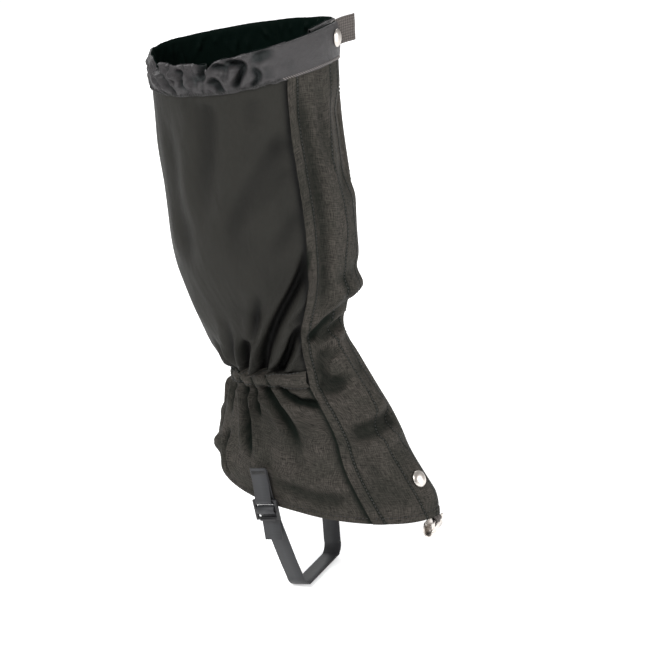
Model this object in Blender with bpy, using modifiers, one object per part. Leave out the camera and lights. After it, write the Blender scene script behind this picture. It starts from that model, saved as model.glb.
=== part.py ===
"""Trekking gaiter for a right boot, in the shape it takes when worn.

Frame: metres, +Z up the leg, -Y towards the toe, -X towards the outer side of the leg.
The origin is the middle of the ankle opening, at the height of the ankle elastic.
The leg and the boot fill the gaiter and are not part of it.

Every fabric piece lies on one lofted skin.  A place on it is (angle, rise): angle is in
degrees round the leg, 0 at the front, 90 on the outer side, 180 at the back, and rise runs
from 0 at the hem to 1 at the rim.  Depth is measured inwards from the skin.
"""
import math

import bmesh
import bpy
from mathutils import Matrix, Vector

COLLECTION = "trekking_gaiter"
MM = 0.001

# The skin's stations from hem to rim, in mm: front y, z, back y, z, half width, and how much
# narrower the front is than the back (0 is an even oval).
STATIONS = (
    (-153, -126, 68, -116, 56, 0.10),
    (-121, -80, 70, -88, 53, 0.08),
    (-101, -44, 62, -46, 48, 0.05),
    (-65, 6, 54, -20, 43, 0.00),
    (-50, 36, 76, 4, 48, 0.00),
    (-63, 80, 107, 70, 57, 0.00),
    (-60, 145, 115, 126, 62, 0.00),
    (-46, 225, 121, 197, 66, 0.00),
    (-41, 300, 126, 268, 67, 0.00),
)
RIM_SAG = 9 * MM            # the outer side of the rim hangs below the rim's plane
HEM_SAG = 7 * MM            # both sides of the hem hang below the line from toe to heel

# Angles of the side seams and rises of the horizontal seams.
SEAM_KEYS = ((0.0, 55), (0.2, 57), (0.34, 61), (0.48, 47), (0.65, 43), (1.0, 39))
CUFF_RISE = 0.94
TUCK = 0.015                # how far the panels reach up inside the cuff
CASING_RISE = (0.322, 0.378)
CASING_MIDDLE = sum(CASING_RISE) / 2
FREE_EDGE = -14             # the flap's free edge, just past the front centre
UNDER_EDGE = 24             # how far the underlap reaches beneath the flap

# Where the two corners of the flap fold back: (rise, angle) at the free edge and at the end.
SHIN_FOLD = ((0.63, FREE_EDGE), (1.0, 30))
INSTEP_FOLD = ((0.32, FREE_EDGE), (0.0, 38))

RISE_STEPS = 34             # every fabric piece shares these levels, so that facets line up

# Thicknesses and layers.
FABRIC = 1.2 * MM
NYLON = 0.7 * MM
TAPE = 1.5 * MM
ELASTIC = 1.0 * MM
GAP = 0.3 * MM              # between hard pieces
LAYER_GAP = 0.7 * MM        # between fabric layers, whose facets don't line up
SEAT_GAP = 1.1 * MM         # behind a flat disc on the hollow side of the fabric
EDGE_GAP = 0.6              # degrees left at each side of a seam
UNDERLAP_DEPTH = 6.3 * MM
CUFF_EXTRA_DEPTH = 2.2 * MM # the cuff's own walls need more room under the flap
TAPE_WIDTH = 21             # degrees, about 25 mm
LOOP_DEPTH = FABRIC + LAYER_GAP
CUFF_OUTER = -(NYLON + LAYER_GAP)
CUFF_INNER = FABRIC + LAYER_GAP + NYLON

# Press studs: 15 mm caps.
CAP_R = 7.5 * MM
CAP_H = 3.2 * MM
SHANK_R = 1.5 * MM
SOCKET_R = 5.6 * MM
SOCKET_H = 2.5 * MM
SOCKET_BORE = 3.3 * MM
STUD_R = 2.4 * MM
STUD_FLANGE_R = 5.0 * MM
TOP_STUD = (-5, 0.970)      # angle, rise
INSTEP_STUD = (7, 0.085)
TURN_STEPS = 20

# Grab tab: 22 mm webbing that stands out from the flap's top corner.
TAB_RISE = 0.972
TAB_FLARE = 47              # degrees outwards from the flap
TAB_LIFT = 0.2              # rise along its length
TAB_HALF_HEIGHT = 11 * MM
TAB_LENGTH = 24 * MM

# Instep strap: an 18 mm strap that hangs from two tabs sewn at the sides of the heel panel
# and reaches forward to the arch of the boot.  Its pieces share a frame at the tabs' stitches.
STRAP_HALF_WIDTH = 9 * MM
STRAP_THICK = 1.8 * MM
STRAP_PIVOT = Vector((0.0, 0.002, -0.0935))
STRAP_TILT = math.radians(13)
TAB_DROP = 28.5 * MM        # from the stitches to the ladder lock's top bar
TAB_HALF_WIDTH = 8.2 * MM
TAB_THICK = 1.0 * MM
LOCK_X = -60.0 * MM         # the middle plane of the ladder lock
LOCK_BAR = (3.0 * MM, 2.6 * MM)
LOCK_PITCH = 8.5 * MM
LOCK_RAIL = 2.6 * MM
ARCH_X = 39 * MM
STRAP_DROP = 126 * MM
STRAP_BEND = 12 * MM

# Lace hook: a 24 mm wide J of strip on a webbing loop behind the front of the hem.
HOOK_PIVOT = Vector((0.0, -0.1470, -0.1352))
HOOK_HALF_WIDTH = 12 * MM
HOOK_THICK = 1.4 * MM
HOOK_LOOP_HALF_WIDTH = 5 * MM
INSTEP_SLOPE = Vector((0.0, 0.571, 0.821))      # up the front of the gaiter at the hem

COLOURS = {
    "soft_fabric": ((0.048, 0.047, 0.043), 0.8, 0.0),
    "heavy_fabric": ((0.075, 0.070, 0.062), 0.85, 0.0),
    "cuff_nylon": ((0.125, 0.115, 0.120), 0.5, 0.0),
    "webbing": ((0.090, 0.078, 0.072), 0.8, 0.0),
    "hook_loop_tape": ((0.02, 0.02, 0.02), 0.9, 0.0),
    "elastic": ((0.03, 0.03, 0.03), 0.8, 0.0),
    "strap": ((0.105, 0.105, 0.112), 0.55, 0.0),
    "buckle": ((0.012, 0.012, 0.012), 0.4, 0.0),
    "nickel": ((0.60, 0.57, 0.53), 0.25, 1.0),
}


# ---------------------------------------------------------------- scene and helpers

def clear_scene():
    for obj in list(bpy.data.objects):
        bpy.data.objects.remove(obj, do_unlink=True)


def collection(name):
    group = bpy.data.collections.get(name) or bpy.data.collections.new(name)
    if name not in bpy.context.scene.collection.children:
        bpy.context.scene.collection.children.link(group)
    return group


def material(name):
    found = bpy.data.materials.get(name)
    if found:
        return found
    colour, roughness, metallic = COLOURS[name]
    made = bpy.data.materials.new(name)
    made.use_nodes = True
    shader = made.node_tree.nodes["Principled BSDF"]
    shader.inputs["Base Color"].default_value = (*colour, 1.0)
    shader.inputs["Roughness"].default_value = roughness
    shader.inputs["Metallic"].default_value = metallic
    made.diffuse_color = (*colour, 1.0)
    return made


def add_object(name, mesh, finish, parent=None):
    """Link a mesh as one named part; its vertices are in world metres."""
    obj = bpy.data.objects.new(name, mesh)
    obj.data.materials.append(material(finish))
    collection(COLLECTION).objects.link(obj)
    if parent:
        obj.parent = parent
        obj.matrix_parent_inverse = parent.matrix_world.inverted()
    return obj


def add_empty(name, place):
    empty = bpy.data.objects.new(name, None)
    empty.empty_display_size = 0.02
    empty.location = place
    collection(COLLECTION).objects.link(empty)
    bpy.context.view_layer.update()
    return empty


def smooth(mesh, angle=35):
    mesh.shade_smooth()
    mesh.set_sharp_from_angle(angle=math.radians(angle))


def thicken(obj, thickness, offset=-1.0):
    solid = obj.modifiers.new("thickness", "SOLIDIFY")
    solid.thickness = thickness
    solid.offset = offset
    solid.use_even_offset = True


def box_mesh(size, place):
    """A primitive cube scaled and placed in its mesh, in world metres."""
    bpy.ops.mesh.primitive_cube_add(size=1.0)
    obj = bpy.context.object
    obj.data.transform(Matrix.Diagonal((*size, 1)))
    obj.data.transform(place)
    for group in list(obj.users_collection):
        group.objects.unlink(obj)
    return obj


def cut_window(obj, name, size, place):
    cutter = box_mesh(size, place)
    cutter.name = name + "_cutter"
    make_cutter(cutter, obj)


def make_cutter(cutter, obj):
    collection("cutters").objects.link(cutter)
    cutter.hide_render = True
    cutter.display_type = "WIRE"
    cut = obj.modifiers.new(cutter.name, "BOOLEAN")
    cut.operation = "DIFFERENCE"
    cut.object = cutter


def span(first, last, count):
    return [first + (last - first) * i / (count - 1) for i in range(count)]


def levels(first, last):
    """Rises from first to last, through every shared level between them."""
    shared = [i / RISE_STEPS for i in range(1, RISE_STEPS)]
    margin = 0.2 / RISE_STEPS
    return [first] + [r for r in shared if first + margin < r < last - margin] + [last]


def step(value, start, end):
    """Smooth 0 to 1 as value goes from start to end."""
    x = min(max((value - start) / (end - start), 0.0), 1.0)
    return x * x * (3 - 2 * x)


def between(keys, x):
    """Straight-line value at x from (x, value) keys in rising order."""
    for (x0, v0), (x1, v1) in zip(keys, keys[1:]):
        if x <= x1:
            return v0 + (v1 - v0) * max(x - x0, 0.0) / (x1 - x0)
    return keys[-1][1]


# ---------------------------------------------------------------- the lofted skin

def station(rise):
    """Catmull-Rom through the stations, in metres (the last value stays a ratio)."""
    place = min(max(rise, 0.0), 1.0) * (len(STATIONS) - 1)
    index = min(int(place), len(STATIONS) - 2)
    u = place - index
    p0, p1, p2, p3 = (STATIONS[min(max(index + k, 0), len(STATIONS) - 1)] for k in (-1, 0, 1, 2))
    row = [0.5 * (2 * b + (c - a) * u + (2 * a - 5 * b + 4 * c - d) * u * u
                  + (3 * b - a - 3 * c + d) * u ** 3) for a, b, c, d in zip(p0, p1, p2, p3)]
    return [value * MM for value in row[:5]] + [row[5]]


def skin(angle, rise):
    front_y, front_z, back_y, back_z, half_width, egg = station(rise)
    c, s = math.cos(math.radians(angle)), math.sin(math.radians(angle))
    sag = RIM_SAG * max(s, 0.0) ** 1.5 * step(rise, 0.75, 1.0)
    sag += HEM_SAG * abs(s) ** 1.5 * step(rise, 0.25, 0.0)
    return Vector((-half_width * s * (1 - egg * c),
                   (front_y + back_y) / 2 + (front_y - back_y) / 2 * c,
                   (front_z + back_z) / 2 + (front_z - back_z) / 2 * c - sag))


def skin_normal(angle, rise):
    """Unit normal out of the leg."""
    low, high = max(rise - 0.01, 0.0), min(rise + 0.01, 1.0)
    round_leg = skin(angle + 2, rise) - skin(angle - 2, rise)
    up_leg = skin(angle, high) - skin(angle, low)
    return up_leg.cross(round_leg).normalized()


def at(angle, rise, depth=0.0):
    return skin(angle, rise) - skin_normal(angle, rise) * depth


def seam(rise):
    return between(SEAM_KEYS, rise)


def fold(rise, ends):
    """Angle of a fold line at this rise."""
    (rise0, angle0), (rise1, angle1) = ends
    return angle0 + (angle1 - angle0) * (rise - rise0) / (rise1 - rise0)


def fold_axis(ends, lift):
    """Where the straight line that a corner folds about starts, just clear of the fold's bulge."""
    places = [(fold(rise, ends), rise) for rise in span(ends[0][0], ends[1][0], 21)]
    points = [skin(*place) for place in places]
    along = (points[-1] - points[0]).normalized()
    out = sum((skin_normal(*place) for place in places), Vector())
    out = (out - along * out.dot(along)).normalized()
    bulge = max((point - points[0]).dot(out) for point in points)
    return points[0] + out * (bulge + lift)


def front_edge(rise):
    """Where the fixed front panel stops: at the free edge, or at a corner's fold line."""
    return max(FREE_EDGE, fold(rise, SHIN_FOLD) if rise > 0.5 else fold(rise, INSTEP_FOLD))


def underlap_depth(angle, rise):
    """The inner layer dives under the flap as it nears the front."""
    full = UNDERLAP_DEPTH + CUFF_EXTRA_DEPTH * step(rise, 0.86, CUFF_RISE)
    return full * step(angle, -39, FREE_EDGE)


def flush(angle, rise):
    return 0.0


def level(depth):
    """A depth that is the same all over a piece."""
    return lambda angle, rise: depth


def grid(name, finish, rows, thickness, parent=None, offset=-1.0):
    """One fabric piece: an open net of points, each row a list, made a solid by thickening.

    The rows run up the leg and each row runs round it from the front to the outer side, so
    the net faces out and a thickness with offset -1 goes inwards.
    """
    mesh = bpy.data.meshes.new(name)
    width = len(rows[0])
    points = [point for row in rows for point in row]
    faces = [(r * width + c, r * width + c + 1, (r + 1) * width + c + 1, (r + 1) * width + c)
             for r in range(len(rows) - 1) for c in range(width - 1)]
    mesh.from_pydata(points, [], [tuple(reversed(face)) for face in faces])
    smooth(mesh)
    obj = add_object(name, mesh, finish, parent)
    thicken(obj, thickness, offset)
    return obj


def panel(name, finish, rises, angles, columns, thickness, depth=flush, parent=None):
    """A fabric piece on the skin. angles(rise) gives its two edges at each rise."""
    rows = []
    for rise in rises:
        first, last = angles(rise)
        rows.append([at(angle, rise, depth(angle, rise)) for angle in span(first, last, columns)])
    return grid(name, finish, rows, thickness, parent)


# ---------------------------------------------------------------- leg and boot panels

def build_panels():
    calf_rises = levels(CASING_MIDDLE + 0.004, CUFF_RISE + TUCK)
    panel("calf_panel", "soft_fabric", calf_rises,
          lambda r: (seam(r) + EDGE_GAP, 360 - seam(r) - EDGE_GAP), 25, FABRIC)
    panel("heel_panel", "heavy_fabric", levels(0.0, CASING_MIDDLE - 0.004),
          lambda r: (seam(r) + EDGE_GAP, 360 - seam(r) - EDGE_GAP), 25, FABRIC)
    panel("front_panel", "heavy_fabric", levels(0.0, CUFF_RISE + TUCK),
          lambda r: (front_edge(r) + EDGE_GAP, seam(r) - EDGE_GAP), 6, FABRIC)
    panel("underlap_panel", "heavy_fabric", levels(0.0, CUFF_RISE + TUCK),
          lambda r: (-seam(r) + EDGE_GAP, UNDER_EDGE), 17, FABRIC, underlap_depth)


def build_flaps(shin_hinge, instep_hinge):
    """The two corners of the front panel that peel back."""
    shin_low = SHIN_FOLD[0][0] + 0.04
    panel("shin_flap", "heavy_fabric", levels(shin_low, CUFF_RISE + TUCK),
          lambda r: (FREE_EDGE, fold(r, SHIN_FOLD) - EDGE_GAP), 6, FABRIC, parent=shin_hinge)
    instep_high = INSTEP_FOLD[0][0] - 0.04
    panel("instep_flap", "heavy_fabric", levels(0.0, instep_high),
          lambda r: (FREE_EDGE, fold(r, INSTEP_FOLD) - EDGE_GAP), 6, FABRIC, parent=instep_hinge)


def build_casing():
    """Gathered ankle tunnel and the elastic inside it, round the back of the leg."""
    def sides(rise):
        return seam(CASING_MIDDLE) + 3, 357 - seam(CASING_MIDDLE)

    rises = span(*CASING_RISE, 5)
    outside = -(ELASTIC + 2 * LAYER_GAP + FABRIC)
    panel("ankle_casing", "heavy_fabric", rises, sides, 25, FABRIC, level(outside))
    panel("ankle_elastic", "elastic", rises[1:-1], sides, 25, ELASTIC,
          level(-(ELASTIC + LAYER_GAP)))


def build_hem():
    panel("hem_facing", "heavy_fabric", span(0.003, 0.04, 2),
          lambda r: (seam(0) + 2, 358 - seam(0)), 25, NYLON, level(FABRIC + LAYER_GAP))


# ---------------------------------------------------------------- top cuff

def cuff(name, angles, columns, depth, parent=None):
    """A folded band: outer wall, top fold and inner wall round the panels' top edge."""
    middle, half = (CUFF_OUTER + CUFF_INNER) / 2, (CUFF_INNER - CUFF_OUTER) / 2
    crown = 1.0 - 0.012
    waist = (CUFF_RISE + crown) / 2
    profile = [(CUFF_OUTER, CUFF_RISE), (CUFF_OUTER, waist), (CUFF_OUTER, crown)]
    for turn in (45, 90, 135):
        c, s = math.cos(math.radians(turn)), math.sin(math.radians(turn))
        profile.append((middle - half * c, crown + (1.0 - crown) * s))
    profile += [(CUFF_INNER, crown), (CUFF_INNER, waist), (CUFF_INNER, CUFF_RISE)]
    rows = [[at(angle, rise, depth(angle, rise) + shift) for angle in span(*angles(rise), columns)]
            for shift, rise in profile]
    return grid(name, "cuff_nylon", rows, NYLON, parent)


def build_cuff(shin_hinge):
    joint = seam(1.0)
    cuff("cuff_band", lambda r: (fold(r, SHIN_FOLD) + EDGE_GAP, 360 - joint - EDGE_GAP), 27, flush)
    cuff("cuff_underlap_end", lambda r: (EDGE_GAP - joint, UNDER_EDGE - 8), 14, underlap_depth)
    cuff("cuff_flap_end", lambda r: (FREE_EDGE, fold(r, SHIN_FOLD) - 2), 6, flush, shin_hinge)
    panel("cuff_elastic", "elastic", span(CUFF_RISE + TUCK + 0.005, 0.985, 2),
          lambda r: (110, 250), 13, ELASTIC, level(GAP))


# ---------------------------------------------------------------- hook-and-loop tapes

def build_tapes(shin_hinge, instep_hinge):
    loop = {"finish": "hook_loop_tape", "columns": 6, "thickness": TAPE, "depth": level(LOOP_DEPTH)}
    hook = dict(loop, depth=lambda angle, rise: underlap_depth(angle, rise) - LAYER_GAP - TAPE)
    back = FREE_EDGE + 2 + TAPE_WIDTH

    def shin_edges(rise):
        return FREE_EDGE + 2, min(back, fold(rise, SHIN_FOLD) - 2)

    def instep_edges(rise):
        return FREE_EDGE + 2, min(back, fold(rise, INSTEP_FOLD) - 2)

    def full(rise):
        return FREE_EDGE + 2, back

    panel("shin_loop_tape", rises=levels(0.70, 0.85), angles=shin_edges, parent=shin_hinge,
          **loop)
    panel("instep_loop_tape", rises=levels(0.125, 0.26), angles=instep_edges,
          parent=instep_hinge, **loop)
    panel("ankle_loop_tape", rises=levels(0.34, 0.615), angles=full, **loop)
    panel("shin_hook_tape", rises=levels(0.42, 0.85), angles=full, **hook)
    panel("instep_hook_tape", rises=levels(0.125, 0.40), angles=full, **hook)


# ---------------------------------------------------------------- press studs

def turned(name, finish, profile, place, parent=None):
    """A body of revolution about its own Z. The profile goes down its outer side."""
    mesh = bpy.data.meshes.new(name)
    closed = profile[0][0] > 0
    edges = [(i, i + 1) for i in range(len(profile) - 1)]
    if closed:
        edges.append((len(profile) - 1, 0))
    mesh.from_pydata([(r, 0.0, z) for r, z in profile], edges, [])
    obj = add_object(name, mesh, finish)
    obj.matrix_world = place
    bpy.context.view_layer.update()
    if parent:
        obj.parent = parent
        obj.matrix_parent_inverse = parent.matrix_world.inverted()
    screw = obj.modifiers.new("turn", "SCREW")
    screw.axis = "Z"
    screw.steps = screw.render_steps = TURN_STEPS
    screw.use_merge_vertices = True
    screw.merge_threshold = 0.00001
    screw.use_smooth_shade = True
    return obj


def stud_frame(angle, rise, depth):
    """Placement with local +Z out of the leg."""
    normal = skin_normal(angle, rise)
    turn = normal.to_track_quat("Z", "Y").to_matrix().to_4x4()
    return Matrix.Translation(at(angle, rise, depth)) @ turn


def punch(obj, angle, rise, radius):
    """Cut a rivet hole through every layer of one fabric piece."""
    bpy.ops.mesh.primitive_cylinder_add(vertices=16, radius=radius, depth=24 * MM)
    cutter = bpy.context.object
    cutter.name = obj.name + "_cutter"
    cutter.matrix_world = stud_frame(angle, rise, 5 * MM)
    for group in list(cutter.users_collection):
        group.objects.unlink(cutter)
    make_cutter(cutter, obj)


def press_stud(prefix, angle, rise, flap_pieces, shell_pieces, flap_top, flap_bottom,
               shell_top, shell_bottom, hinge):
    """Cap and socket riveted to the flap, stud and post riveted to the underlap."""
    cap_base = flap_top - GAP
    shank = flap_bottom - cap_base + GAP + 0.7 * MM
    dome = [(0.0, CAP_H)]
    dome += [(CAP_R * math.sin(a), 0.9 * MM + (CAP_H - 0.9 * MM) * math.cos(a))
             for a in map(math.radians, (22, 44, 64, 82))]
    cap = dome + [(CAP_R, 0.6 * MM), (CAP_R - 0.5 * MM, 0.0), (SHANK_R, 0.0),
                  (SHANK_R, -shank), (0.0, -shank)]
    turned(prefix + "_snap_cap", "nickel", cap, stud_frame(angle, rise, cap_base), hinge)

    socket_top = flap_bottom + SEAT_GAP
    web = 0.9 * MM
    socket = [(SOCKET_R - 0.5 * MM, 0.0), (SOCKET_R, -0.5 * MM), (SOCKET_R, -SOCKET_H + 0.4 * MM),
              (SOCKET_R - 0.6 * MM, -SOCKET_H), (SOCKET_BORE, -SOCKET_H), (SOCKET_BORE, -web),
              (SHANK_R + 0.3 * MM, -web), (SHANK_R + 0.3 * MM, 0.0)]
    turned(prefix + "_snap_socket", "nickel", socket, stud_frame(angle, rise, socket_top), hinge)

    stud_base = shell_top - GAP
    knob = stud_base - (socket_top + web) - GAP
    hole = SHANK_R + 0.2 * MM
    stud = [(0.0, knob), (STUD_R - 0.4 * MM, knob), (STUD_R, knob - 0.4 * MM),
            (STUD_R - 0.2 * MM, 0.5 * MM), (STUD_FLANGE_R, 0.35 * MM), (STUD_FLANGE_R, 0.0),
            (hole, 0.0), (hole, 0.5 * knob), (0.0, 0.5 * knob)]
    turned(prefix + "_snap_stud", "nickel", stud, stud_frame(angle, rise, stud_base))

    post_top = shell_bottom + SEAT_GAP
    reach = post_top - stud_base + 0.5 * knob - GAP
    post = [(0.0, reach), (SHANK_R, reach), (SHANK_R, 0.0), (STUD_FLANGE_R, 0.0),
            (STUD_FLANGE_R, -0.5 * MM), (STUD_FLANGE_R - 0.5 * MM, -0.8 * MM), (0.0, -0.8 * MM)]
    turned(prefix + "_snap_post", "nickel", post, stud_frame(angle, rise, post_top))
    for name in flap_pieces + shell_pieces:
        punch(bpy.data.objects[name], angle, rise, SHANK_R + 0.3 * MM)


def build_press_studs(shin_hinge, instep_hinge):
    cuff_depth = UNDERLAP_DEPTH + CUFF_EXTRA_DEPTH
    press_stud("top", *TOP_STUD, ["cuff_flap_end"], ["cuff_underlap_end"],
               CUFF_OUTER, CUFF_INNER, cuff_depth + CUFF_OUTER, cuff_depth + CUFF_INNER,
               shin_hinge)
    press_stud("instep", *INSTEP_STUD, ["instep_flap"], ["underlap_panel"],
               0.0, FABRIC, UNDERLAP_DEPTH, UNDERLAP_DEPTH + FABRIC, instep_hinge)


# ---------------------------------------------------------------- straps and hardware

def band(name, finish, path, half_width, thickness, place, parent=None, across=Vector((0, 1, 0))):
    """A flat strap: a path of (a, z) points drawn out sideways along the across direction."""
    ahead = Vector((1, 0, 0)) if abs(across.x) < 0.5 else Vector((0, 1, 0))
    mesh = bpy.data.meshes.new(name)
    points = []
    for a, z in path:
        centre = ahead * a + Vector((0, 0, z))
        points += [centre - across * half_width, centre + across * half_width]
    faces = [(2 * i, 2 * i + 1, 2 * i + 3, 2 * i + 2) for i in range(len(path) - 1)]
    mesh.from_pydata([place @ point for point in points], [], faces)
    smooth(mesh)
    obj = add_object(name, mesh, finish, parent)
    thicken(obj, thickness, 0.0)
    return obj


def arc(centre, radius, first, last, count):
    """Points on a circle in the (a, z) plane, angles in degrees from +a."""
    return [(centre[0] + radius * math.cos(math.radians(d)),
             centre[1] + radius * math.sin(math.radians(d))) for d in span(first, last, count)]


def strap_frame():
    return Matrix.Translation(STRAP_PIVOT) @ Matrix.Rotation(-STRAP_TILT, 4, "X")


def strap_path():
    """Centre line from the tail, round the lock's middle bar, under the arch and up again.

    The load run passes inside the tail, so each turn round a bar moves a strap's width over.
    """
    bar_z = -TAB_DROP - LOCK_PITCH
    turn = 3.3 * MM
    tail = [(LOCK_X + 1.0 * MM, bar_z - 30 * MM), (LOCK_X + 2.9 * MM, bar_z - 14 * MM),
            (LOCK_X + 2.9 * MM, bar_z - 6.7 * MM), (LOCK_X - 3.0 * MM, bar_z - 2 * MM)]
    over_bar = arc((LOCK_X, bar_z), turn, 175, 5, 8)
    side = [(LOCK_X + 5.4 * MM, bar_z - 7 * MM), (LOCK_X + 5.4 * MM, bar_z - 13 * MM),
            (-ARCH_X - 6 * MM, -STRAP_DROP + 34 * MM)]
    bend = arc((-ARCH_X + STRAP_BEND, -STRAP_DROP + STRAP_BEND), STRAP_BEND, 180, 270, 7)
    inner_side = [(-x, z) for x, z in reversed(side[1:] + bend)]
    return tail + over_bar + side + bend + inner_side + [(57.5 * MM, -TAB_DROP - 1.5 * MM)]


def build_strap(strap_hinge):
    place = strap_frame()
    band("instep_strap", "strap", strap_path(), STRAP_HALF_WIDTH, STRAP_THICK, place, strap_hinge)
    build_ladder_lock(place @ Matrix.Translation((LOCK_X, 0, -TAB_DROP - LOCK_PITCH)), strap_hinge)
    bar = (LOCK_X, -TAB_DROP)
    outside = [(-59.4 * MM, 3 * MM), (-60.2 * MM, -TAB_DROP / 2)]
    inside = [(-57.9 * MM, -TAB_DROP / 2), (-57.7 * MM, 1 * MM)]
    loop = arc(bar, 2.9 * MM, 150, 390, 9)
    band("strap_tab_outer", "strap", outside + loop + inside, TAB_HALF_WIDTH, TAB_THICK, place,
         strap_hinge)
    band("strap_tab_inner", "strap", [(57.6 * MM, 3 * MM), (57.5 * MM, -TAB_DROP)],
         STRAP_HALF_WIDTH, STRAP_THICK, place, strap_hinge)


def build_ladder_lock(place, strap_hinge):
    """Three bars between two side rails: the tab's bar, the strap's bar and the lift bar."""
    thick, bar = LOCK_BAR
    half_width = STRAP_HALF_WIDTH + 0.6 * MM + LOCK_RAIL
    frame = box_mesh((thick, 2 * half_width, 2 * LOCK_PITCH + bar), place)
    frame.name = "ladder_lock"
    collection(COLLECTION).objects.link(frame)
    frame.data.materials.append(material("buckle"))
    frame.parent = strap_hinge
    frame.matrix_parent_inverse = strap_hinge.matrix_world.inverted()
    slot = (3 * thick, 2 * (half_width - LOCK_RAIL), LOCK_PITCH - bar)
    cut_window(frame, "tab_slot", slot, place @ Matrix.Translation((0, 0, LOCK_PITCH / 2)))
    cut_window(frame, "strap_slot", slot, place @ Matrix.Translation((0, 0, -LOCK_PITCH / 2)))


def tab_directions():
    """The grab tab's hinge line up the flap's edge, and the way the tab stands out from it."""
    up = (skin(FREE_EDGE, 0.99) - skin(FREE_EDGE, 0.96)).normalized()
    tangent = (skin(FREE_EDGE - 4, TAB_RISE) - skin(FREE_EDGE, TAB_RISE)).normalized()
    flare = math.radians(TAB_FLARE)
    out = tangent * math.cos(flare) + skin_normal(FREE_EDGE, TAB_RISE) * math.sin(flare)
    return up, tangent, out + up * TAB_LIFT


def build_pull_tab(shin_hinge, tab_hinge):
    """Webbing grab tab at the flap's top corner, and its end sewn behind the flap's edge."""
    up, tangent, out = tab_directions()
    edge = at(FREE_EDGE, TAB_RISE, CUFF_INNER + SEAT_GAP)
    heights = (-TAB_HALF_HEIGHT, TAB_HALF_HEIGHT)
    root = [[edge + tangent * x + up * h for h in heights] for x in (-4 * MM, -0.5 * MM)]
    tab = [[edge + out * x + up * h for h in heights] for x in (0.5 * MM, 12 * MM, TAB_LENGTH)]
    grid("pull_tab_root", "webbing", root, 1.0 * MM, shin_hinge, 0.0)
    grid("pull_tab", "webbing", tab, 1.0 * MM, tab_hinge, 0.0)


def build_lace_hook(hook_hinge):
    """The hook's top bar turns in the webbing loop, whose legs are sewn behind the underlap."""
    place = Matrix.Translation(HOOK_PIVOT)
    throat = 4.0 * MM
    drop = -9 * MM
    path = [(0.0, 1.1 * MM)] + arc((throat, drop), throat, 180, 360, 9)
    path += [(2 * throat, drop + 4 * MM), (2 * throat + 0.8 * MM, drop + 6.5 * MM)]
    hook = band("lace_hook", "nickel", path, HOOK_HALF_WIDTH, HOOK_THICK, place, hook_hinge,
                Vector((1, 0, 0)))
    cut_window(hook, "hook_window", (2 * HOOK_LOOP_HALF_WIDTH + 2 * MM, 6 * MM, 3.6 * MM),
               place @ Matrix.Translation((0, 0, -2.9 * MM)))
    along = (INSTEP_SLOPE.y, INSTEP_SLOPE.z)
    sideways = (INSTEP_SLOPE.z, -INSTEP_SLOPE.y)
    legs = [[(s * sideways[0] + r * along[0], s * sideways[1] + r * along[1]) for r in reach]
            for s, reach in ((-0.9 * MM, (26 * MM, 8 * MM)), (0.9 * MM, (8 * MM, 26 * MM)))]
    loop = arc((0.0, 0.0), 2.0 * MM, 160, 360, 8)
    band("hook_loop", "webbing", legs[0] + loop + legs[1], HOOK_LOOP_HALF_WIDTH, 0.8 * MM, place,
         None, Vector((1, 0, 0)))


def main():
    clear_scene()
    shin_hinge = add_empty("shin_fold_axis", fold_axis(SHIN_FOLD, 1.5 * MM))
    instep_hinge = add_empty("instep_fold_axis", fold_axis(INSTEP_FOLD, 1.0 * MM))
    strap_hinge = add_empty("strap_axis", STRAP_PIVOT)
    hook_hinge = add_empty("lace_hook_axis", HOOK_PIVOT)
    tab_hinge = add_empty("pull_tab_axis", at(FREE_EDGE, TAB_RISE, CUFF_INNER + SEAT_GAP))
    build_panels()
    build_flaps(shin_hinge, instep_hinge)
    build_casing()
    build_hem()
    build_cuff(shin_hinge)
    build_tapes(shin_hinge, instep_hinge)
    build_press_studs(shin_hinge, instep_hinge)
    build_strap(strap_hinge)
    build_pull_tab(shin_hinge, tab_hinge)
    build_lace_hook(hook_hinge)


main()
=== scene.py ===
"""Looks of the trekking gaiter: cloth, seams, cuff, webbing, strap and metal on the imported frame.

The cloth follows the same lofted skin as the CAD. A place on it is (angle, rise): angle in
degrees round the leg, 0 at the front, 90 on the outer side, 180 at the back, and rise from 0 at
the hem to 1 at the rim. Depth is inwards from the skin. Every layer is moved by one relief, so
that layers which lie on each other in the CAD still lie on each other here.
"""
import math

import bpy
import numpy as np
from mathutils import Matrix, Vector

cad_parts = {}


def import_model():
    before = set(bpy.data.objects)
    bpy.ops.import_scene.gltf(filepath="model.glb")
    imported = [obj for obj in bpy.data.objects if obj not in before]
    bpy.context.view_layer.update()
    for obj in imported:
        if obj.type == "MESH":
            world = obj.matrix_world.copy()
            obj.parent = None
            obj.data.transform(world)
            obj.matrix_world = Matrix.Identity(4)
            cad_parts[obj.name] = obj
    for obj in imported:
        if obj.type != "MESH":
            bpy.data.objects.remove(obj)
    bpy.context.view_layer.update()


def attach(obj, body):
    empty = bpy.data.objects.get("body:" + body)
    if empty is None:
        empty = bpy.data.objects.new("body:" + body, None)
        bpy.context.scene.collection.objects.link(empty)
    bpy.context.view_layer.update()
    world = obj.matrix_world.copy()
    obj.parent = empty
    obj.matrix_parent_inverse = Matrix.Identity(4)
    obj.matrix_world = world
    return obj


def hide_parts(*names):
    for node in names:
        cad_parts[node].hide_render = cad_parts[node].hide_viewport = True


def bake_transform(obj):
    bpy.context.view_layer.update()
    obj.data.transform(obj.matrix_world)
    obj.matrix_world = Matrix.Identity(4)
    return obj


MM = 0.001
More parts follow.
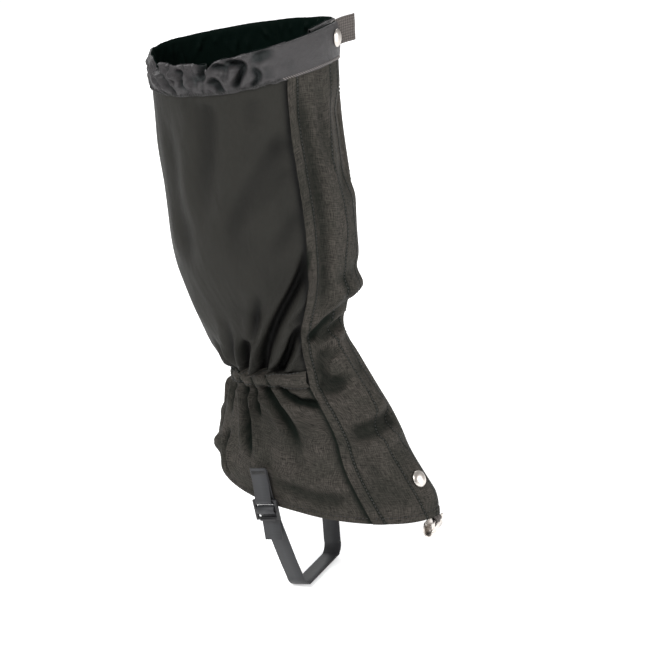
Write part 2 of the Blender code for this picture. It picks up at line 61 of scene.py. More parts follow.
# Rings up the leg in mm: front y and z, back y and z, half width, and how much narrower in front.
STATIONS = np.array((
    (-153, -126, 68, -116, 56, 0.10),
    (-121, -80, 70, -88, 53, 0.08),
    (-101, -44, 62, -46, 48, 0.05),
    (-65, 6, 54, -20, 43, 0.00),
    (-50, 36, 76, 4, 48, 0.00),
    (-63, 80, 107, 70, 57, 0.00),
    (-60, 145, 115, 126, 62, 0.00),
    (-46, 225, 121, 197, 66, 0.00),
    (-41, 300, 126, 268, 67, 0.00),
), float)
# Rises, and the angles of the seam between leg cloth and front panel there.
SEAM = ((0.0, 0.2, 0.34, 0.48, 0.65, 1.0), (55, 57, 61, 47, 43, 39))
CUFF_RISE = 0.94            # the cuff's seam
CUFF_SPLIT = 138            # behind it the cuff stays put when the top corner is peeled back
FREE_EDGE = -14             # the flap's edge
UNDER_EDGE = 24             # the underlap's edge, beneath the flap
SPLIT = 0.53                # the front cloth's two halves meet in the crease above the ankle
CUFF_LAP = 0.012            # how far the cloth below runs up behind the cuff
HEM_RISE = 0.021            # stitch line of the hem
SEAM_SETBACK = 6.7          # degrees from a front seam to its stitch line
CASING_RISE = 0.3515        # middle of the ankle tunnel
CASING_HALF = 0.027         # half its height
# Ends, as (rise, angle), of the lines that the two corners turn over.
SHIN_FOLD = ((0.63, FREE_EDGE), (1.0, 30))
INSTEP_FOLD = ((0.32, FREE_EDGE), (0.0, 38))
FABRIC = 1.0 * MM
NYLON = 0.5 * MM
UNDERLAP_DEPTH = 6.3 * MM
CUFF_STEPS = 24             # rows up the cuff's outer wall
CROWN = 0.988               # where the cuff starts to turn over
FLOOR = -0.2185
MM_PER_DEGREE = 1.15        # about, round the leg
MM_PER_RISE = 600           # more than the real length, so that rows are closer than columns


# ---------------------------------------------------------------- the skin and its relief

def step(value, start, end):
    """0 up to start and 1 from end on, with a smooth rise between them."""
    x = np.clip((value - start) / (end - start), 0.0, 1.0)
    return x * x * (3 - 2 * x)


def between(a, b, c, d, u):
    """Catmull-Rom: the place a share u of the way from b to c, with a before them and d after."""
    return 0.5 * (2 * b + (c - a) * u + (2 * a - 5 * b + 4 * c - d) * u * u
                  + (3 * b - a - 3 * c + d) * u ** 3)


def spline(places, steps):
    """A smooth line through the places, with this many points evenly shared over its stretches."""
    keys = np.array(places, float)
    padded = np.vstack([2 * keys[0] - keys[1], keys, 2 * keys[-1] - keys[-2]])
    fine = np.linspace(0, len(keys) - 1, steps)
    index = np.minimum(fine.astype(int), len(keys) - 2)
    return between(*(padded[index + k] for k in range(4)), (fine - index)[:, None])


def run_length(line):
    """How far each point is along a line of points."""
    return np.concatenate([[0], np.linalg.norm(np.diff(line, axis=0), axis=1).cumsum()])


def station(rise):
    """The skin's ring at this rise, between the stations, in metres."""
    last = len(STATIONS) - 1
    place = np.clip(rise, 0.0, 1.0) * last
    index = np.minimum(place.astype(int), last - 1)
    nearby = (STATIONS[np.clip(index + k, 0, last)] for k in (-1, 0, 1, 2))
    row = between(*nearby, (place - index)[..., None])
    row[..., :5] *= MM
    return row


def skin(angle, rise):
    """The place on the smooth skin, in metres."""
    angle, rise = np.broadcast_arrays(np.asarray(angle, float), np.asarray(rise, float))
    s, c, sn = station(rise), np.cos(np.radians(angle)), np.sin(np.radians(angle))
    sag = 9 * MM * np.maximum(sn, 0) ** 1.5 * step(rise, 0.75, 1.0)
    sag = sag + 7 * MM * np.abs(sn) ** 1.5 * step(rise, 0.25, 0.0)
    return np.stack([-s[..., 4] * sn * (1 - s[..., 5] * c),
                     (s[..., 0] + s[..., 2]) / 2 + (s[..., 0] - s[..., 2]) / 2 * c,
                     (s[..., 1] + s[..., 3]) / 2 + (s[..., 1] - s[..., 3]) / 2 * c - sag], -1)


def skin_normal(angle, rise):
    """The way straight out of the skin."""
    round_leg = skin(angle + 2, rise) - skin(angle - 2, rise)
    up_leg = skin(angle, np.minimum(rise + 0.01, 1)) - skin(angle, np.maximum(rise - 0.01, 0))
    out = np.cross(up_leg, round_leg)
    return out / np.linalg.norm(out, axis=-1, keepdims=True)


def seam(rise):
    """Angle where the leg cloth meets the front panel."""
    return np.interp(rise, *SEAM)


def fold(rise, ends):
    """Angle of a straight fold line between two (rise, angle) ends."""
    (rise0, angle0), (rise1, angle1) = ends
    return angle0 + (angle1 - angle0) * (rise - rise0) / (rise1 - rise0)


def noise(x, y, seed):
    """Smooth lattice noise, 0 to 1."""
    table = np.random.default_rng(seed).random((64, 64))
    ix, iy = np.floor(x).astype(int), np.floor(y).astype(int)
    fx, fy = x - ix, y - iy
    fx, fy = fx * fx * (3 - 2 * fx), fy * fy * (3 - 2 * fy)
    near = table[iy % 64, ix % 64] * (1 - fx) + table[iy % 64, (ix + 1) % 64] * fx
    far = table[(iy + 1) % 64, ix % 64] * (1 - fx) + table[(iy + 1) % 64, (ix + 1) % 64] * fx
    return near * (1 - fy) + far * fy


# Folds: (places, half width mm, depth mm, share of the length that fades in, and out).
# A negative depth is a ridge.
CALF_FOLDS = [
    (((92, 0.53), (97, 0.49), (106, 0.44), (115, 0.402)), 4.4, 12.0, 0.35, 0.0),
    (((42, 0.72), (47, 0.665), (58, 0.60), (69, 0.535), (90, 0.43), (97, 0.402)), 4.6, 14.0, 0.35, 0.0),
    (((43, 0.555), (57, 0.49), (72, 0.43), (84, 0.402)), 3.6, 10.5, 0.3, 0.0),
    (((52, 0.49), (66, 0.445), (77, 0.402)), 3.2, 8.5, 0.4, 0.0),
    (((44, 0.60), (55, 0.545), (66, 0.49)), 4.2, 3.2, 0.4, 0.5),
    (((74, 0.64), (79, 0.575), (84, 0.52), (98, 0.44)), 4.6, 4.2, 0.4, 0.4),
    (((104, 0.60), (108, 0.52), (122, 0.43), (127, 0.402)), 5.0, 4.0, 0.5, 0.0),
    (((96, 0.70), (77, 0.78), (54, 0.845), (42, 0.87)), 9.0, 5.0, 0.4, 0.3),
    (((78, 0.74), (57, 0.80), (41, 0.83)), 7.5, 3.8, 0.4, 0.3),
    (((70, 0.68), (55, 0.73), (43, 0.77)), 7.5, 3.0, 0.4, 0.3),
    (((91, 0.935), (93, 0.87), (101, 0.80), (104, 0.72)), 10.0, 4.6, 0.1, 0.6),
    (((124, 0.93), (125, 0.75), (122, 0.62)), 9.0, 2.6, 0.2, 0.4),
    (((62, 0.93), (64, 0.90), (58, 0.86)), 8.0, 2.0, 0.2, 0.5),
    (((128, 0.54), (132, 0.45), (136, 0.402)), 3.6, 6.0, 0.6, 0.0),
]
HEEL_FOLDS = [
    (((124, 0.340), (120, 0.25), (117, 0.17), (116, 0.12)), 3.9, 11.0, 0.0, 0.5),
    (((112, 0.340), (111, 0.27), (110, 0.23)), 3.2, 8.0, 0.0, 0.6),
    (((101, 0.340), (93, 0.285), (87, 0.235), (80, 0.16)), 4.4, 11.0, 0.0, 0.6),
    (((88, 0.340), (80, 0.315), (68, 0.303), (58, 0.30)), 3.6, 8.0, 0.0, 0.4),
    (((141, 0.32), (140, 0.27), (139, 0.21)), 3.6, 8.0, 0.0, 0.5),
    (((136, 0.20), (141, 0.11), (140, 0.02)), 3.4, 8.0, 0.4, 0.3),
    (((106, 0.085), (88, 0.068), (73, 0.062), (60, 0.07)), 6.0, 4.5, 0.3, 0.3),
    (((98, 0.03), (84, 0.035), (70, 0.03)), 6.0, 2.0, 0.4, 0.4),
    (((158, 0.23), (156, 0.19), (158, 0.16)), 6.0, 4.5, 0.4, 0.4),
    (((164, 0.135), (160, 0.105), (163, 0.070)), 7.5, -4.6, 0.4, 0.4),
    (((96, 0.24), (93, 0.16), (94, 0.10)), 8.0, -2.4, 0.4, 0.4),
    (((76, 0.27), (74, 0.19), (70, 0.12)), 9.0, -2.2, 0.4, 0.4),
]
FRONT_FOLDS = [
    (((54, 0.345), (42, 0.338), (24, 0.350), (8, 0.362)), 7.0, 7.5, 0.1, 0.6),
    (((52, 0.224), (32, 0.238), (8, 0.250), (-9, 0.254)), 7.5, 8.5, 0.25, 0.2),
    (((27, 0.45), (38, 0.405), (49, 0.345)), 6.4, 5.5, 0.4, 0.2),
    (((30, 0.452), (25, 0.42), (23, 0.385)), 6.0, 3.5, 0.4, 0.4),
    (((36, 0.465), (20, 0.496), (2, 0.508), (-16, 0.506)), 5.5, 7.0, 0.3, 0.35),
    (((47, 0.48), (34, 0.505), (20, 0.54), (0, 0.56)), 5.0, 6.0, 0.3, 0.5),
    (((30, 0.585), (8, 0.60), (-16, 0.605)), 9.0, -5.5, 0.4, 0.0),
    (((33, 0.93), (30, 0.82), (31, 0.72), (33, 0.62), (30, 0.54)), 5.4, 4.0, 0.1, 0.3),
    (((16, 0.66), (10, 0.61), (14, 0.56)), 5.0, 2.4, 0.4, 0.4),
    (((20, 0.93), (17, 0.86), (16, 0.78)), 6.0, 1.6, 0.3, 0.5),
    (((12, 0.40), (22, 0.35), (30, 0.30)), 8.0, -2.2, 0.4, 0.4),
    (((44, 0.20), (40, 0.12), (42, 0.06)), 8.0, 1.6, 0.4, 0.4),
]
UNDERLAP_FOLDS = [
    (((-58, 0.34), (-44, 0.35), (-32, 0.35)), 4.5, 4.5, 0.3, 0.5),
    (((-44, 0.50), (-34, 0.53), (-22, 0.55)), 5.5, 4.5, 0.3, 0.3),
    (((-34, 0.90), (-31, 0.78), (-33, 0.66)), 7.0, 2.2, 0.3, 0.4),
]
CUFF_FOLDS = [
    (((131, 0.996), (121, 0.970), (111, 0.944)), 2.2, 7.5, 0.1, 0.0),
    (((137, 0.978), (129, 0.962), (121, 0.944)), 2.4, 5.0, 0.3, 0.0),
    (((111, 0.985), (105, 0.975), (106, 0.946)), 2.6, 5.0, 0.3, 0.2),
    (((92, 1.000), (91, 0.980), (94, 0.962)), 2.8, 9.0, 0.0, 0.4),
    (((88, 0.966), (82, 0.955), (80, 0.944)), 3.0, 6.0, 0.3, 0.0),
    (((78, 0.990), (70, 0.984), (66, 0.972), (72, 0.944)), 2.4, 7.0, 0.2, 0.1),
    (((86, 0.990), (79, 0.983), (74, 0.972)), 2.0, 4.0, 0.2, 0.3),
    (((63, 0.975), (58, 0.955), (61, 0.944)), 2.4, 4.0, 0.4, 0.0),
    (((64, 0.990), (54, 0.986), (44, 0.987)), 4.0, 4.0, 0.4, 0.5),
    (((101, 0.985), (100, 0.962), (99, 0.946)), 3.0, -4.2, 0.3, 0.2),
    (((71, 0.990), (73, 0.968), (77, 0.948)), 2.6, -3.6, 0.3, 0.3),
    (((113, 0.990), (113, 0.975), (103, 0.972)), 2.4, -3.4, 0.3, 0.3),
    (((50, 0.965), (40, 0.958), (33, 0.955)), 6.0, 1.2, 0.4, 0.4),
    (((60, 0.992), (56, 0.965), (54, 0.945)), 8.0, 2.0, 0.2, 0.1),
]


def gathers(seed, count, first, last, start, reach, depth):
    """Folds that run from the ankle elastic, from angle first to last, of uneven length."""
    rng = np.random.default_rng(seed)
    made = []
    for i in range(count):
        angle = first + (last - first) * (i + 0.2 + 0.6 * rng.random()) / count
        length = reach * (0.35 + 0.65 * rng.random())
        lean = rng.uniform(-9, 9)
        made.append((((angle, start), (angle + 0.4 * lean, start + 0.45 * length),
                      (angle + lean, start + length)),
                     rng.uniform(2.6, 4.2), depth * rng.uniform(0.6, 1.0), 0.0, 0.75))
    return made


def crumples(seed, count, first, last, low, high, depth):
    """Short creases in every direction."""
    rng = np.random.default_rng(seed)
    made = []
    for i in range(count):
        angle = first + (last - first) * (i + rng.random()) / count
        rise = rng.uniform(low, high)
        lean, drop = rng.uniform(-8, 8), rng.uniform(0.012, 0.03)
        places = ((angle - lean, rise - drop), (angle, rise), (angle + 0.7 * lean, rise + drop))
        made.append((places, rng.uniform(2.2, 3.4), depth * rng.uniform(0.4, 1.0), 0.4, 0.4))
    return made


def all_folds():
    folds = CALF_FOLDS + HEEL_FOLDS + FRONT_FOLDS + UNDERLAP_FOLDS
    folds = folds + gathers(3, 15, 142, 308, 0.385, 0.17, 6.5)
    folds = folds + gathers(5, 15, 150, 308, 0.318, -0.17, 6.0)
    folds = folds + gathers(8, 5, 62, 118, 0.318, -0.05, 2.6)
    return folds


def curve_points(places):
    """A smooth line through the places, on the skin."""
    line = spline(places, 9 * (len(places) - 1) + 1)
    return skin(line[:, 0], line[:, 1])


def along(points, line):
    """Distance from each point to the line, and how far along it the nearest place is, 0 to 1."""
    starts, ways = line[:-1], np.diff(line, axis=0)
    offset = points[:, None] - starts[None]
    share = np.clip((offset * ways).sum(-1) / (ways * ways).sum(-1), 0, 1)
    distance = np.linalg.norm(offset - share[..., None] * ways, axis=-1)
    nearest = distance.argmin(1)
    rows = np.arange(len(points))
    return distance[rows, nearest], (nearest + share[rows, nearest]) / len(ways)


def press(points, folds):
    """How far each point is moved outwards by the folds."""
    total = np.zeros(len(points))
    for places, width, depth, fade_in, fade_out in folds:
        line = curve_points(places)
        reach = 4 * width * MM
        near = ((points > line.min(0) - reach) & (points < line.max(0) + reach)).all(1)
        if not near.any():
            continue
        distance, share = along(points[near], line)
        x = distance / (width * MM)
        shape = -np.exp(-x * x) + 0.38 * np.exp(-((x - 1.9) / 0.9) ** 2)
        amount = np.ones(len(share))
        if fade_in:
            amount *= step(share, 0.0, fade_in)
        if fade_out:
            amount *= step(share, 1.0, 1.0 - fade_out)
        total[near] += depth * MM * amount * shape
    return total


FOLDS = all_folds()
TIGHT = [piece for piece in FOLDS if piece[1] < 5.2]
BROAD = [piece for piece in FOLDS if piece[1] >= 5.2]
CUFF_CREASES = CUFF_FOLDS + crumples(11, 34, 142, 312, 0.955, 0.985, 3.4)


def uneven(angle, rise):
    """Slow swelling of the cloth, -0.5 to 0.5."""
    return noise(angle / 17 + 40, rise * 14, 21) - 0.5


def relief(angle, rise):
    """Outward movement of every layer at this place on the skin."""
    angle, rise = np.broadcast_arrays(np.asarray(angle, float), np.asarray(rise, float))
    turned = angle % 360
    points = skin(angle, rise).reshape(-1, 3)
    moved = press(points, FOLDS).reshape(angle.shape)
    moved = np.where(moved < 0, -11 * MM * np.tanh(-moved / (11 * MM)), moved)
    # the ankle elastic holds the ridges flat
    held = step(np.abs(rise - 0.354), 0.052, 0.028)
    moved = np.where(moved > 0, moved * (1 - 0.85 * held), moved)
    moved = moved * step(rise, CUFF_RISE + 0.004, CUFF_RISE - 0.012)
    moved = moved + 2.4 * MM * uneven(angle, rise) * step(rise, 0.02, 0.12) * step(rise, 0.93, 0.86)
    # the flap's edge curls in below the cuff
    ahead = step(angle, -21, -12) * step(angle, 14, -4)
    moved = moved - 5.5 * MM * ahead * step(rise, 0.755, 0.80) * step(rise, 0.915, 0.87)
    # the toe end of the hem is drawn in by the lace hook
    moved = moved - 4.5 * MM * step(angle, -60, -28) * step(angle, 36, 8) * step(rise, 0.055, 0.0)
    # the hem lies flat behind both ends of the strap
    beside = np.exp(-((turned - 92) / 14) ** 2) + np.exp(-((turned - 268) / 14) ** 2)
    moved = moved - 2.0 * MM * beside * step(rise, 0.10, 0.04)
    # the cuff is scrunched round the back, where its cord runs
    creased = press(points, CUFF_CREASES).reshape(angle.shape)
    lean = 60 * (rise - 0.97) * np.sin(angle / 6)
    puff = np.abs(noise((angle + lean) / 3.7 + 9, rise * 38, 4) - 0.5)
    puff = puff + 0.5 * np.abs(noise(angle / 2.4 + 3, rise * 100, 6) - 0.5)
    loose = step(turned, 58, 82) * (0.35 + 0.65 * step(turned, 150, 118)) * step(turned, 322, 300)
    creased = creased + 6.0 * MM * (puff - 0.34) * loose
    moved = moved + creased * step(rise, CUFF_RISE - 0.002, CUFF_RISE + 0.006)
    return moved


def underlap_depth(angle, rise):
    """The inner layer dives under the flap as it nears the front."""
    full = UNDERLAP_DEPTH + 2.2 * MM * step(rise, 0.86, CUFF_RISE)
    start = -39 + 8 * step(rise, 0.74, 0.80) * step(rise, 0.92, 0.88)
    return full * step(angle, start, FREE_EDGE)


def on_cloth(angle, rise, depth=0.0):
    """A place on a layer that lies at this depth."""
    return skin(angle, rise) + skin_normal(angle, rise) * (relief(angle, rise) - depth)[..., None]


# ---------------------------------------------------------------- materials

class Nodes:
    """A short way to write a shader tree."""

    def __init__(self, name):
        self.material = bpy.data.materials.new(name)
        self.material.use_nodes = True
        self.tree = self.material.node_tree
        self.shader = self.tree.nodes["Principled BSDF"]

    def add(self, kind, inputs=(), **settings):
        node = self.tree.nodes.new("ShaderNode" + kind)
        for key, value in settings.items():
            setattr(node, key, value)
        for key, value in dict(inputs).items():
            self.put(node.inputs[key], value)
        return node

    def put(self, socket, value):
        if isinstance(value, bpy.types.NodeSocket):
            self.tree.links.new(value, socket)
        else:
            socket.default_value = value

    def math(self, operation, a, b=0.0, c=0.0):
        return self.add("Math", {0: a, 1: b, 2: c}, operation=operation).outputs[0]

    def mix(self, share, a, b):
        node = self.add("Mix", data_type="RGBA")
        self.put(node.inputs[0], share)
        self.put(node.inputs[6], (*a, 1) if isinstance(a, tuple) else a)
        self.put(node.inputs[7], (*b, 1) if isinstance(b, tuple) else b)
        return node.outputs[2]

    def scaled(self, value, by):
        return self.math("MULTIPLY", value, by)

    def stored(self, name):
        """A value that the mesh holds at each point."""
        return self.add("Attribute", attribute_name=name).outputs[2]

    def noise(self, place, scale, detail=2.0, **more):
        return self.add("TexNoise", {"Vector": place, "Scale": scale, "Detail": detail, **more}).outputs[0]

    def mapped(self, place, **how):
        return self.add("Mapping", {"Vector": place, **how}).outputs[0]

    def ramp(self, value, low, high):
        node = self.add("MapRange", {"Value": value, "From Min": low, "From Max": high})
        return node.outputs[0]

    def bump(self, height, distance, strength=1.0):
        node = self.add("Bump", {"Height": height, "Distance": distance, "Strength": strength})
        self.tree.links.new(node.outputs[0], self.shader.inputs["Normal"])

    def finish(self, **values):
        for key, value in values.items():
            self.put(self.shader.inputs[key.replace("_", " ")], value)
        return self.material


def threads(nodes, warp, weft, stretch=0.12, place=None):
    """Cloth coordinates in mm, and slubs along both directions of the weave."""
    place = place or nodes.add("UVMap", uv_map="cloth").outputs[0]
    slubs = []
    for scale in ((1.0 / warp, stretch / warp, 1.0), (stretch / weft, 1.0 / weft, 1.0)):
        slubs.append(nodes.noise(nodes.mapped(place, Scale=scale), 1.0, 3.0, Roughness=0.65))
    return place, nodes.scaled(nodes.math("ADD", *slubs), 0.5)


def weave(nodes, place, pitch):
    """Plain weave: each thread passes over and under."""
    split = nodes.add("SeparateXYZ", {0: place})
    waves = [nodes.math("ABSOLUTE", nodes.math("SINE", nodes.scaled(split.outputs[i], math.pi / pitch)))
             for i in (0, 1)]
    checker = nodes.add("TexChecker", {"Vector": place, "Scale": 1.0 / pitch}).outputs[1]
    first = nodes.math("MULTIPLY", waves[0], checker)
    second = nodes.math("MULTIPLY", waves[1], nodes.math("SUBTRACT", 1.0, checker))
    return nodes.math("ADD", first, second)


def heavy_fabric():
    """Coarse canvas, brown grey, with painted shade that turns it dark green in its folds and hollows."""
    nodes = Nodes("heavy_canvas")
    place, slub = threads(nodes, 0.85, 0.85, 0.11)
    cloud = nodes.noise(place, 0.03)
    shade = nodes.mix(nodes.ramp(slub, 0.38, 0.62), (0.011, 0.011, 0.009), (0.084, 0.074, 0.065))
    shade = nodes.mix(nodes.scaled(nodes.ramp(cloud, 0.35, 0.65), 0.35), shade, (0.026, 0.028, 0.022))
    # painted shade: the colour turns dark green where the cloth lies deep in a fold
    painted_fold_shade = nodes.scaled(nodes.math("POWER", nodes.stored("painted_shade"), 0.7), 0.95)
    shade = nodes.mix(painted_fold_shade, shade, (0.004, 0.007, 0.005))
    height = nodes.math("MULTIPLY_ADD", slub, 0.9, weave(nodes, place, 0.9))
    wave = nodes.noise(place, 0.07, 2.5)
    nodes.bump(nodes.math("MULTIPLY_ADD", wave, 9.0, height), 0.00025, 0.9)
    return nodes.finish(Base_Color=shade, Roughness=nodes.ramp(slub, -1.2, 1.4),
                        Specular_IOR_Level=0.08)


def soft_fabric():
    """Close smooth weave, olive grey."""
    nodes = Nodes("soft_shell")
    place, slub = threads(nodes, 0.7, 0.7)
    shade = nodes.mix(nodes.ramp(slub, 0.3, 0.7), (0.0175, 0.0170, 0.0145), (0.0250, 0.0240, 0.0210))
    # painted shade: darker where the cloth lies deep in a fold or along a seam
    shade = nodes.mix(nodes.scaled(nodes.stored("painted_shade"), 0.9), shade, (0.003, 0.003, 0.003))
    wave = nodes.noise(nodes.mapped(place, Rotation=(0, 0, 0.5), Scale=(0.045, 0.018, 1)), 1.0)
    weft = nodes.math("MULTIPLY_ADD", slub, 0.5, weave(nodes, place, 0.5))
    nodes.bump(nodes.math("MULTIPLY_ADD", wave, 60.0, weft), 0.00006, 1.0)
    return nodes.finish(Base_Color=shade, Roughness=nodes.ramp(slub, -1.0, 1.6), Specular_IOR_Level=0.12)


def cuff_nylon():
    """Thin crinkled nylon with a soft shine."""
    nodes = Nodes("cuff_nylon")
    place, slub = threads(nodes, 0.6, 0.6)
    crinkle = nodes.noise(place, 0.16, 4.0, Roughness=0.6, Distortion=0.6)
    shade = nodes.mix(nodes.ramp(slub, 0.3, 0.7), (0.026, 0.024, 0.025), (0.042, 0.039, 0.0405))
    # painted shade: darker where the nylon is pressed in
    shade = nodes.mix(nodes.scaled(nodes.stored("painted_shade"), 0.9), shade, (0.008, 0.012, 0.012))
    height = nodes.math("MULTIPLY_ADD", crinkle, 14.0, weave(nodes, place, 0.4))
    nodes.bump(height, 0.00012, 0.8)
    return nodes.finish(Base_Color=shade, Roughness=nodes.ramp(crinkle, -0.4, 1.8),
                        Specular_IOR_Level=0.42)


def lining_and_painted_shade():
    """Coated inner face of every panel, near black; also put on the cuff's nylon where it turns down
    inside the rim, as painted shade.
    """
    nodes = Nodes("coated_lining_and_painted_shade")
    place, slub = threads(nodes, 0.8, 0.8)
    shade = nodes.mix(nodes.ramp(slub, 0.3, 0.7), (0.0015, 0.0045, 0.0035), (0.0030, 0.0070, 0.0055))
    nodes.bump(weave(nodes, place, 0.6), 0.00003, 0.4)
    return nodes.finish(Base_Color=shade, Roughness=nodes.ramp(slub, -1.0, 1.6),
                        Specular_IOR_Level=0.02)


def webbing(name, solid=False):
    """Flat woven webbing: ribs across it and along it, with painted shade between them. A CAD solid has no
    cloth coordinates.
    """
    nodes = Nodes(name)
    place = None
    if solid:
        place = nodes.mapped(nodes.add("TexCoord").outputs["Object"], Scale=(1000, 1000, 1000))
    place, slub = threads(nodes, 0.8, 1.3, place=place)
    ribs = weave(nodes, place, 2.3)
    # painted shade: the colour goes near black in the grooves between the ribs
    shade = nodes.mix(nodes.ramp(ribs, 0.1, 0.9), (0.012, 0.010, 0.009), (0.115, 0.100, 0.092))
    shade = nodes.mix(nodes.scaled(slub, 0.5), shade, (0.075, 0.066, 0.060))
    nodes.bump(ribs, 0.00035, 0.9)
    return nodes.finish(Base_Color=shade, Roughness=nodes.ramp(slub, -1.0, 1.6),
                        Specular_IOR_Level=0.25)


def tape(name, tone, spike):
    """Hook-and-loop tape: a field of small loops or hooks, with painted shade between them."""
    nodes = Nodes(name)
    place = nodes.add("UVMap", uv_map="cloth").outputs[0]
    pile = nodes.add("TexVoronoi", {"Vector": place, "Scale": spike, "Randomness": 0.7}).outputs[0]
    # painted shade: darker in the gaps between the loops or hooks
    shade = nodes.mix(nodes.ramp(pile, 0.0, 0.7), tone, tuple(0.25 * t for t in tone))
    nodes.bump(nodes.math("SUBTRACT", 1.0, pile), 0.0006, 0.9)
    return nodes.finish(Base_Color=shade, Roughness=nodes.ramp(pile, -2.0, 1.0),
                        Specular_IOR_Level=0.2)


def thread(name, tone):
    """Twisted sewing thread."""
    nodes = Nodes(name)
    place = nodes.add("TexCoord").outputs["Object"]
    twist = nodes.noise(place, 1800.0, 1.0)
    shade = nodes.mix(nodes.ramp(twist, 0.3, 0.7), tone, tuple(1.5 * t for t in tone))
    nodes.bump(twist, 0.0001, 0.5)
    return nodes.finish(Base_Color=shade, Roughness=nodes.ramp(twist, -1.0, 1.8))


def strap_rubber():
    """Smooth coated strap with a fine grain, darker along both edges."""
    nodes = Nodes("coated_strap")
    place = nodes.add("UVMap", uv_map="cloth").outputs[0]
    grain = nodes.noise(nodes.mapped(place, Scale=(0.05, 1.2, 1.0)), 1.0, 4.0)
    shade = nodes.mix(nodes.ramp(grain, 0.35, 0.65), (0.026, 0.027, 0.029), (0.037, 0.038, 0.041))
    # the colour is darker along both edges
    shade = nodes.mix(nodes.scaled(nodes.stored("edge"), 0.55), shade, (0.012, 0.012, 0.014))
    nodes.bump(grain, 0.00008, 0.6)
    return nodes.finish(Base_Color=shade, Roughness=nodes.ramp(grain, -0.9, 1.7),
                        Specular_IOR_Level=0.4)


def buckle_plastic():
    """Moulded plastic, matt with a fine grain."""
    nodes = Nodes("moulded_plastic")
    place = nodes.add("TexCoord").outputs["Object"]
    grain = nodes.noise(place, 900.0)
    shade = nodes.mix(nodes.ramp(grain, 0.3, 0.7), (0.008, 0.008, 0.009), (0.016, 0.016, 0.017))
    nodes.bump(grain, 0.00006, 0.5)
    return nodes.finish(Base_Color=shade, Roughness=nodes.ramp(grain, -0.6, 1.6),
                        Specular_IOR_Level=0.45)


def nickel():
    """Plated steel, lightly brushed and dulled in places."""
    nodes = Nodes("nickel_plate")
    place = nodes.add("TexCoord").outputs["Object"]
    spots = nodes.noise(place, 220.0, 4.0)
    fine = nodes.noise(place, 2500.0, 1.0)
    shade = nodes.mix(nodes.ramp(spots, 0.3, 0.7), (0.55, 0.50, 0.46), (0.74, 0.70, 0.66))
    nodes.bump(nodes.math("MULTIPLY_ADD", spots, 2.0, fine), 0.00004, 0.5)
    return nodes.finish(Base_Color=shade, Metallic=1.0, Roughness=nodes.ramp(spots, -1.0, 3.2))


def plain_stage():
    nodes = Nodes("pale_floor")
    return nodes.finish(Base_Color=(0.92, 0.92, 0.92, 1), Roughness=0.9,
                        Emission_Color=(1, 1, 1, 1), Emission_Strength=0.45)


# ---------------------------------------------------------------- meshes

def mesh_object(name, points, faces, finishes, material_index=None, uv=None):
    """A smooth-shaded mesh with these finishes, and with cloth coordinates in mm if it has a uv."""
    mesh = bpy.data.meshes.new(name)
    mesh.from_pydata(np.asarray(points).tolist(), [], faces)
    for finish in finishes:
        mesh.materials.append(finish)
    if material_index is not None:
        mesh.polygons.foreach_set("material_index", np.asarray(material_index, np.int32))
    if uv is not None:
        corner = np.empty(len(mesh.loops), np.int32)
        mesh.loops.foreach_get("vertex_index", corner)
        layer = mesh.uv_layers.new(name="cloth")
        layer.data.foreach_set("uv", np.asarray(uv, np.float32)[corner].ravel())
    mesh.shade_smooth()
    mesh.set_sharp_from_angle(angle=math.radians(62))
    obj = bpy.data.objects.new(name, mesh)
    bpy.context.scene.collection.objects.link(obj)
    return obj


def tube_faces(rings, sides, first=0):
    """Faces round rings of points, with both ends closed."""
    faces = []
    for ring in range(rings - 1):
        for side in range(sides):
            a, b = (first + ring * sides + place % sides for place in (side, side + 1))
            faces.append((a, a + sides, b + sides, b))
    faces.append([first + side for side in range(sides)])
    faces.append([first + (rings - 1) * sides + side for side in reversed(range(sides))])
    return faces


def net_faces(rows, columns, first=0, flip=False):
    r, c = np.meshgrid(np.arange(rows - 1), np.arange(columns - 1), indexing="ij")
    a = (r * columns + c).ravel() + first
    quads = np.stack([a, a + columns, a + columns + 1, a + 1], -1)
    return quads[:, ::-1] if flip else quads


def net_normals(points):
    up, across = np.gradient(points, axis=0), np.gradient(points, axis=1)
    out = np.cross(up, across)
    return out / np.maximum(np.linalg.norm(out, axis=-1, keepdims=True), 1e-12)


def sheet_object(name, points, thickness, finishes, painted_shade=None, inside=None):
    """A thick sheet from a net of points on its outer face, (rows, columns, 3).

    Rows run up and columns run round, so that the outer face looks outwards. The outer face takes
    the first finish and the inner face the second, which also shows where the mask inside is true,
    as painted shade. Painted shade for the finishes to darken by is kept on the points.
    """
    rows, columns = points.shape[:2]
    inner = points - net_normals(points) * thickness
    around = np.linalg.norm(np.diff(points, axis=1), axis=-1)
    upward = np.linalg.norm(np.diff(points, axis=0), axis=-1)
    u = np.concatenate([np.zeros((rows, 1)), around.cumsum(1)], 1)
    u = (u - u[:, columns // 2, None]) / MM
    v = np.concatenate([np.zeros((1, columns)), upward.cumsum(0)], 0) / MM
    count = rows * columns
    faces = [net_faces(rows, columns), net_faces(rows, columns, count, True)]
    edge = np.concatenate([np.arange(columns), np.arange(1, rows) * columns + columns - 1,
                           (rows - 1) * columns + np.arange(columns - 2, -1, -1),
                           np.arange(rows - 2, 0, -1) * columns])
    following = np.roll(edge, -1)
    faces.append(np.stack([edge, following, following + count, edge + count], -1))
    index = np.concatenate([np.full(len(f), i) for f, i in zip(faces, (0, 1, 0))])
    if inside is not None:
        index[:len(faces[0])] = inside[:-1, :-1].ravel()
    uv = np.stack([u.ravel(), v.ravel()], -1)
    obj = mesh_object(name, np.concatenate([points.reshape(-1, 3), inner.reshape(-1, 3)]),
                      np.concatenate(faces).tolist(), finishes, index, np.concatenate([uv, uv]))
    if painted_shade is not None:
        attribute = obj.data.attributes.new("painted_shade", "FLOAT", "POINT")
        attribute.data.foreach_set("value", np.tile(painted_shade.ravel(), 2).astype(np.float32))
    return obj


